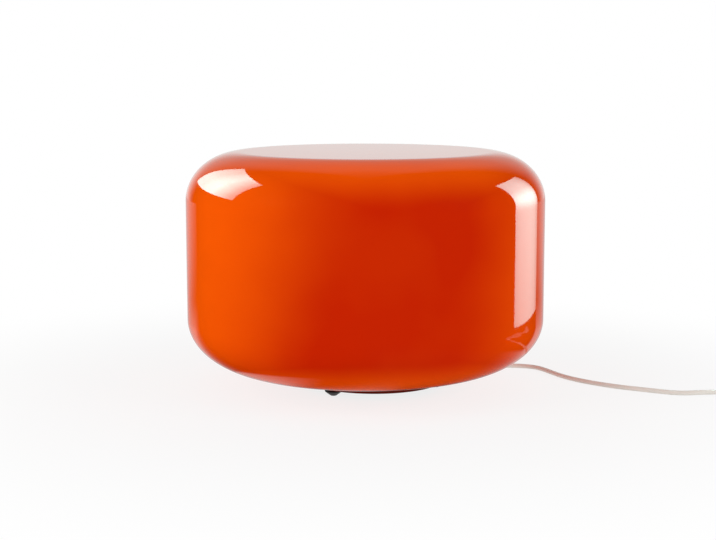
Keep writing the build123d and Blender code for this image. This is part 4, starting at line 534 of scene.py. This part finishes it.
# %% Strain relief
BUSH_START, BUSH_WALL, FLANGE_END, TAPER_START = 72.5, 78.0, 82.0, 83.5
BORE_R, NECK_R, FLANGE_R, TAPER_R, TAIL_R = 2.7, 4.4, 6.0, 4.8, 3.5
FIRST_GROOVE, GROOVE_PITCH, GROOVES, GROOVE_HALF, GROOVE_DEPTH = 86.8, 3.5, 6, 0.9, 0.6
TAPER_POINTS, BUSH_COLUMNS = 148, 64
FLANGE_EDGE = [(FLANGE_END - 0.6, FLANGE_R), (FLANGE_END, FLANGE_R - 0.25), (FLANGE_END + 0.4, 5.3)]

taper = np.linspace(TAPER_START, BUSH_END, TAPER_POINTS)
taper_r = TAPER_R + (TAIL_R - TAPER_R) * (taper - TAPER_START) / (BUSH_END - TAPER_START)
for groove in range(GROOVES):
    aside = np.abs(taper - FIRST_GROOVE - GROOVE_PITCH * groove) / GROOVE_HALF
    taper_r -= GROOVE_DEPTH * np.clip(1 - aside**4, 0, 1)
bush_section = np.vstack(
    [
        [(BUSH_START, BORE_R), (BUSH_START, NECK_R), (BUSH_WALL, NECK_R), (BUSH_WALL, FLANGE_R)],
        FLANGE_EDGE,
        np.stack([taper, taper_r], axis=-1),
        [(BUSH_END, BORE_R), (BUSH_START, BORE_R)],
    ]
)


def carry_round_cord(section, columns):
    """Turn a half section about the cord's exit: aside by r cos a, and up by r sin a."""
    angle = np.linspace(0, 2 * np.pi, columns, endpoint=False)
    out, radius = section[:, 0, None], section[:, 1, None]
    x = BASE_X + out * EXIT[0] - radius * np.cos(angle) * EXIT[1]
    y = out * EXIT[1] + radius * np.cos(angle) * EXIT[0]
    z = CORD_HEIGHT + radius * np.sin(angle)
    return np.stack([x, y, z], axis=-1) * MM


bush = carry_round_cord(bush_section, BUSH_COLUMNS)
relief = surface_piece("strain_relief", bush, "base", [finishes["cord_pvc"]])
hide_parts("cord_bush")
print("strain relief:", len(relief.data.polygons), "faces,", GROOVES, "grooves")

# %% [markdown]
# ## The coil of spare cord
#
# A tied coil is wound from outside in, climbs a layer, and is wound out again on top. Its control
# points come from that rule: the radius shrinks by one cord's pitch each turn, then grows again a
# layer higher. They are set a little outside the true radius, because a spline cuts its corners.

# %% Coil and plug end
COIL_X, PITCH, LAYER_Z = 459.8, 5.8, 3.4
OUTER_R, INNER_R = 40.7, 23.3
STEPS = 16
LOWER_TURNS, CLIMB, UPPER_TURNS = 3.0, 0.5, 2.5
OUTSIDE_CORNER = 1 / math.cos(math.pi / STEPS) ** 0.5


def coil_spot(turns):
    """A control point after this many turns: radius and height follow the winding's rule."""
    if turns <= LOWER_TURNS + CLIMB / 2:
        radius = OUTER_R - PITCH * turns
    else:
        radius = INNER_R + PITCH * (turns - LOWER_TURNS - CLIMB)
    climbed = min(max((turns - LOWER_TURNS) / CLIMB, 0.0), 1.0)
    height = LAYER_Z + PITCH * (1 - math.cos(math.pi * climbed)) / 2
    angle = 2 * math.pi * turns
    radius *= OUTSIDE_CORNER
    return (COIL_X + radius * math.cos(angle), radius * math.sin(angle), height)


total_turns = LOWER_TURNS + CLIMB + UPPER_TURNS
coil_turns = np.arange(0.5 / STEPS, total_turns, 1 / STEPS)
coil_out_x = COIL_X + INNER_R + PITCH * UPPER_TURNS
plug_route = [
    (456, -66, 6.0), (481, -66, 6.0), (499.5, -49, 4.2), (500.5, -24, 3.4), (500.5, -7, 3.4),
    *[coil_spot(turns) for turns in coil_turns],
    (coil_out_x, 7, 9.2), (coil_out_x, 24.7, 9.2), (492, 45, 7.4), (488.5, 64.5, 6.85), (488.5, 84, 6.85),
]
cord_piece(
    "cord_to_plug", plug_route,
    ["cord_switch_run", "cord_coil", "cord_plug_run"],
)
print("cord to the plug has", len(plug_route), "control points")

# %% [markdown]
# ## Table, backdrop and light
#
# The lamp stands on a white table before a white backdrop, in a room that is dark behind the
# camera. That darkness is what keeps the glass a full, deep colour: glass mirrors its room, and
# only what is behind the lamp is bright, so white creeps in at the edges alone. The world shader
# does it by where a mirrored ray goes. Plain rays for lighting get an even grey.

# %% World
LIGHT_LEVEL = 0.7
SKY_SHARES = (1.1, 0.72)
COOL_WHITE = (0.88, 1.0, 1.0, 1)
WHITE_BY_HEIGHT = {0.0: 0.96, 0.1: 0.87, 0.25: 0.52, 0.45: 0.35, 0.9: 0.35, 1.0: 0.04}
# How straight behind the lamp a ray has to go: the white starts at the first and is full at the second
BEHIND = (0.76, 0.96)
JUST_OVER_ONE = 1.0001

world = bpy.data.worlds.new("studio")
world.use_nodes = True
bpy.context.scene.world = world
tree = world.node_tree
background = tree.nodes["Background"]
path = put(tree, "ShaderNodeLightPath")
direction = put(tree, "ShaderNodeTexCoord")
axes = put(tree, "ShaderNodeSeparateXYZ")
join(tree, direction.outputs["Generated"], axes.inputs[0])
z_squared = calculate(tree, "POWER", axes.outputs["Z"], 2.0)
flat = calculate(tree, "POWER", calculate(tree, "SUBTRACT", JUST_OVER_ONE, z_squared), 0.5)
behind = ramp(tree, calculate(tree, "DIVIDE", axes.outputs["Y"], flat), *BEHIND)
low_down = grade(tree, axes.outputs["Z"], WHITE_BY_HEIGHT)
mirrored = times(tree, behind, low_down)
from_above = ramp(tree, axes.outputs["Z"], 0.0, 1.0, *(LIGHT_LEVEL * share for share in SKY_SHARES))
lit = choose(tree, path.outputs["Is Glossy Ray"], from_above, mirrored)
seen = calculate(tree, "MAXIMUM", path.outputs["Is Camera Ray"], path.outputs["Is Transmission Ray"])
join(tree, choose(tree, seen, lit, 1.0), background.inputs["Strength"])
tint = put(tree, "ShaderNodeMix", data_type="RGBA")
tint.inputs[6].default_value = (1, 1, 1, 1)
tint.inputs[7].default_value = COOL_WHITE
join(tree, path.outputs["Is Glossy Ray"], tint.inputs[0])
join(tree, tint.outputs[2], background.inputs["Color"])
print("world light level", LIGHT_LEVEL)

# %% [markdown]
# ## The table top
#
# The table is a plain white sheet that keeps the lamp's soft shadow. Seen by the camera it is
# mostly self-lit white, so that it meets the white backdrop with no horizon. Mirrored in the glass
# it shows a painted reflection, a glow that only gloss sees. It is white behind the lamp, with a
# painted pool of light under the lamp's left side. It fades to dark in front of the lamp, like the
# room, and it is in painted shadow where the lamp's own shadow falls to its right and front.

# %% Table
TABLE_HALF = 3.0
TABLE_TONE, TABLE_ROUGHNESS = 0.85, 0.9
# Left of the lamp the painted light in the reflection ends along two slanting lines: their directions and
# their soft edges
LEFT_LINES = (((0.698, 0.716), (-0.215, -0.12)), ((0.5, 0.866), (-0.15, -0.04)))
# Right of it the painted light ends along one line, and fades towards the front into painted shadow
RIGHT_SLANT, RIGHT_EDGE, RIGHT_FRONT = 0.87, (0.245, 0.22), (-0.12, 0.06, 0.02, 1.0)
# A pool of light under the lamp's left side has a crisp round edge
POOL_X, POOL_FORWARD, POOL_EDGE = 0.01, 0.008, (0.173, 0.163)
POOL_SIDE = (-0.045, -0.11, 0.0, 0.85)
# Between these two places the left side's white gives way to the right side's
SIDES_MEET = (-0.02, 0.05)
# Far from the lamp the painted reflection stays within an angle of straight behind
FAR_ANGLE, FAR_AWAY = (0.5, 0.93), (0.4, 0.8)
# How bright the painted reflection is, and the share and level of the glow that lights the lamp
MIRROR_LEVEL, LIGHTING_SHARE, LIGHTING_LEVEL = 0.62, 0.31, 1.25
# What the camera sees glows more with distance, so that the table meets the backdrop
SEEN_GLOW = (0.25, 0.7, 0.82, 1.0)

table_mesh = bpy.data.meshes.new("table")
corners = np.array([(-1, -1, 0), (1, -1, 0), (1, 1, 0), (-1, 1, 0)], dtype=float) * TABLE_HALF
table_mesh.from_pydata(corners.tolist(), [], [(0, 1, 2, 3)])
table = bpy.data.objects.new("table", table_mesh)
bpy.context.scene.collection.objects.link(table)

table_finish, tree, shader = start_material("table_white")
shader.inputs["Base Color"].default_value = (TABLE_TONE, TABLE_TONE, TABLE_TONE, 1)
shader.inputs["Roughness"].default_value = TABLE_ROUGHNESS
shader.inputs["Specular IOR Level"].default_value = 0.0
glow = put(tree, "ShaderNodeEmission")
path = put(tree, "ShaderNodeLightPath")
place = put(tree, "ShaderNodeTexCoord")
axes = put(tree, "ShaderNodeSeparateXYZ")
join(tree, place.outputs["Object"], axes.inputs[0])
x, y = axes.outputs["X"], axes.outputs["Y"]


def along(x_share, y_share):
    """How far a point of the table lies in one direction: x_share x + y_share y."""
    return calculate(tree, "ADD", times(tree, x, x_share), times(tree, y, y_share))


# Painted reflection: the table glows in gloss where it would be lit, and stays dark in painted shadow where
# the lamp's shadow falls
table_left_painted_light = times(tree, *(ramp(tree, along(*shares), *edge) for shares, edge in LEFT_LINES))
slanted = times(tree, calculate(tree, "MAXIMUM", y, 0.0), RIGHT_SLANT)
right_line = calculate(tree, "SUBTRACT", x, slanted)
table_right_painted_light = times(tree, ramp(tree, right_line, *RIGHT_EDGE), ramp(tree, y, *RIGHT_FRONT))
pool_x, pool_y = calculate(tree, "SUBTRACT", x, POOL_X), calculate(tree, "ADD", y, POOL_FORWARD)
pool_squares = calculate(tree, "ADD", times(tree, pool_x, pool_x), times(tree, pool_y, pool_y))
pool_r = calculate(tree, "POWER", pool_squares, 0.5)
pool = times(tree, ramp(tree, pool_r, *POOL_EDGE), ramp(tree, x, *POOL_SIDE))
painted_left_and_pool = calculate(tree, "MAXIMUM", table_left_painted_light, pool)
painted_light_near = choose(tree, ramp(tree, x, *SIDES_MEET), painted_left_and_pool, table_right_painted_light)
distance = put(tree, "ShaderNodeVectorMath", operation="LENGTH")
join(tree, place.outputs["Object"], distance.inputs[0])
behind_far = ramp(tree, calculate(tree, "DIVIDE", y, distance.outputs["Value"]), *FAR_ANGLE)
far = ramp(tree, distance.outputs["Value"], *FAR_AWAY)
painted_light_near = times(tree, painted_light_near, choose(tree, far, 1.0, behind_far))
# The painted reflection's strength, seen by glossy rays alone
mirrored = times(tree, painted_light_near, MIRROR_LEVEL)
seen_glow = ramp(tree, distance.outputs["Value"], *SEEN_GLOW)
glow_share = choose(tree, path.outputs["Is Camera Ray"], LIGHTING_SHARE, seen_glow)
glow_share = choose(tree, path.outputs["Is Glossy Ray"], glow_share, 1.0)
plain_level = choose(tree, path.outputs["Is Camera Ray"], LIGHTING_LEVEL, 1.0)
join(tree, choose(tree, path.outputs["Is Glossy Ray"], plain_level, mirrored), glow.inputs["Strength"])
mixer = put(tree, "ShaderNodeMixShader")
join(tree, glow_share, mixer.inputs[0])
join(tree, shader.outputs[0], mixer.inputs[1])
join(tree, glow.outputs[0], mixer.inputs[2])
join(tree, mixer.outputs[0], tree.nodes["Material Output"].inputs["Surface"])
table_mesh.materials.append(table_finish)

# %% [markdown]
# ## Softboxes
#
# Two big cards are mirrored in the glass: one stands left and behind, and shows bent over the left
# shoulder, and a tall one stands close on the right, and shows as a bright strip down the wall.
# They only show in gloss, while wide soft lamps, which gloss does not show, light the colours.

# %% Lamps
CARD_WHITE = (0.58, 1.0, 0.97)


def area_lamp(name, spot, target, size, strength, gloss, up=None, across=None):
    """A rectangular lamp, turned to its target: seen in gloss, or lighting colours.

    up and across grade its brightness over its height and width.
    """
    data = bpy.data.lights.new(name, "AREA")
    data.shape = "RECTANGLE"
    data.size, data.size_y = size
    data.energy = strength * size[0] * size[1] * math.pi
    lamp = bpy.data.objects.new(name, data)
    lamp.location = spot
    lamp.rotation_euler = (Vector(target) - Vector(spot)).to_track_quat("-Z", "Y").to_euler()
    data.color = CARD_WHITE if gloss else (1.0, 1.0, 1.0)
    lamp.visible_diffuse = not gloss
    lamp.visible_glossy = gloss
    lamp.visible_camera = False
    if up:
        data.use_nodes = True
        tree = data.node_tree
        on_lamp = put(tree, "ShaderNodeNewGeometry")
        split = put(tree, "ShaderNodeSeparateXYZ")
        join(tree, on_lamp.outputs["Parametric"], split.inputs[0])
        both = times(tree, grade(tree, split.outputs["Y"], up), grade(tree, split.outputs["X"], across))
        join(tree, both, tree.nodes["Emission"].inputs["Strength"])
    bpy.context.scene.collection.objects.link(lamp)
    return lamp


LEFT_UP = {0.0: 0.8, 0.3: 1.0, 1.0: 0.9}
LEFT_ACROSS = {0.0: 0.3, 0.3: 0.52, 0.6: 1.0, 0.8: 0.8, 1.0: 0.38}
card_left = area_lamp(
    "card_left", spot=(-0.972, 0.468, 0.893), target=(-0.005, 0.212, 0.893), size=(1.135, 0.845),
    strength=12.0, gloss=True, up=LEFT_UP, across=LEFT_ACROSS,
)
RIGHT_UP = {0.0: 0.34, 0.33: 0.46, 0.5: 0.95, 0.58: 0.95, 0.72: 0.62, 1.0: 0.5}
RIGHT_ACROSS = {0.0: 0.9, 0.14: 1.0, 0.54: 0.76, 0.78: 0.54, 1.0: 0.25}
card_right = area_lamp(
    "card_right", spot=(0.45, 0.1035, 0.2485), target=(-0.55, 0.1035, 0.2485), size=(0.263, 0.433),
    strength=11.5, gloss=True, up=RIGHT_UP, across=RIGHT_ACROSS,
)
LAMP_MIDDLE = (0, 0, 0.12)
key = area_lamp("key", (-2.0, -1.2, 1.2), LAMP_MIDDLE, size=(1.6, 1.4), strength=3.2, gloss=False)
fill = area_lamp("fill", (2.1, -1.2, 0.9), LAMP_MIDDLE, size=(1.4, 1.2), strength=3.2, gloss=False)
print("lamps:", [lamp.name for lamp in (card_left, card_right, key, fill)])
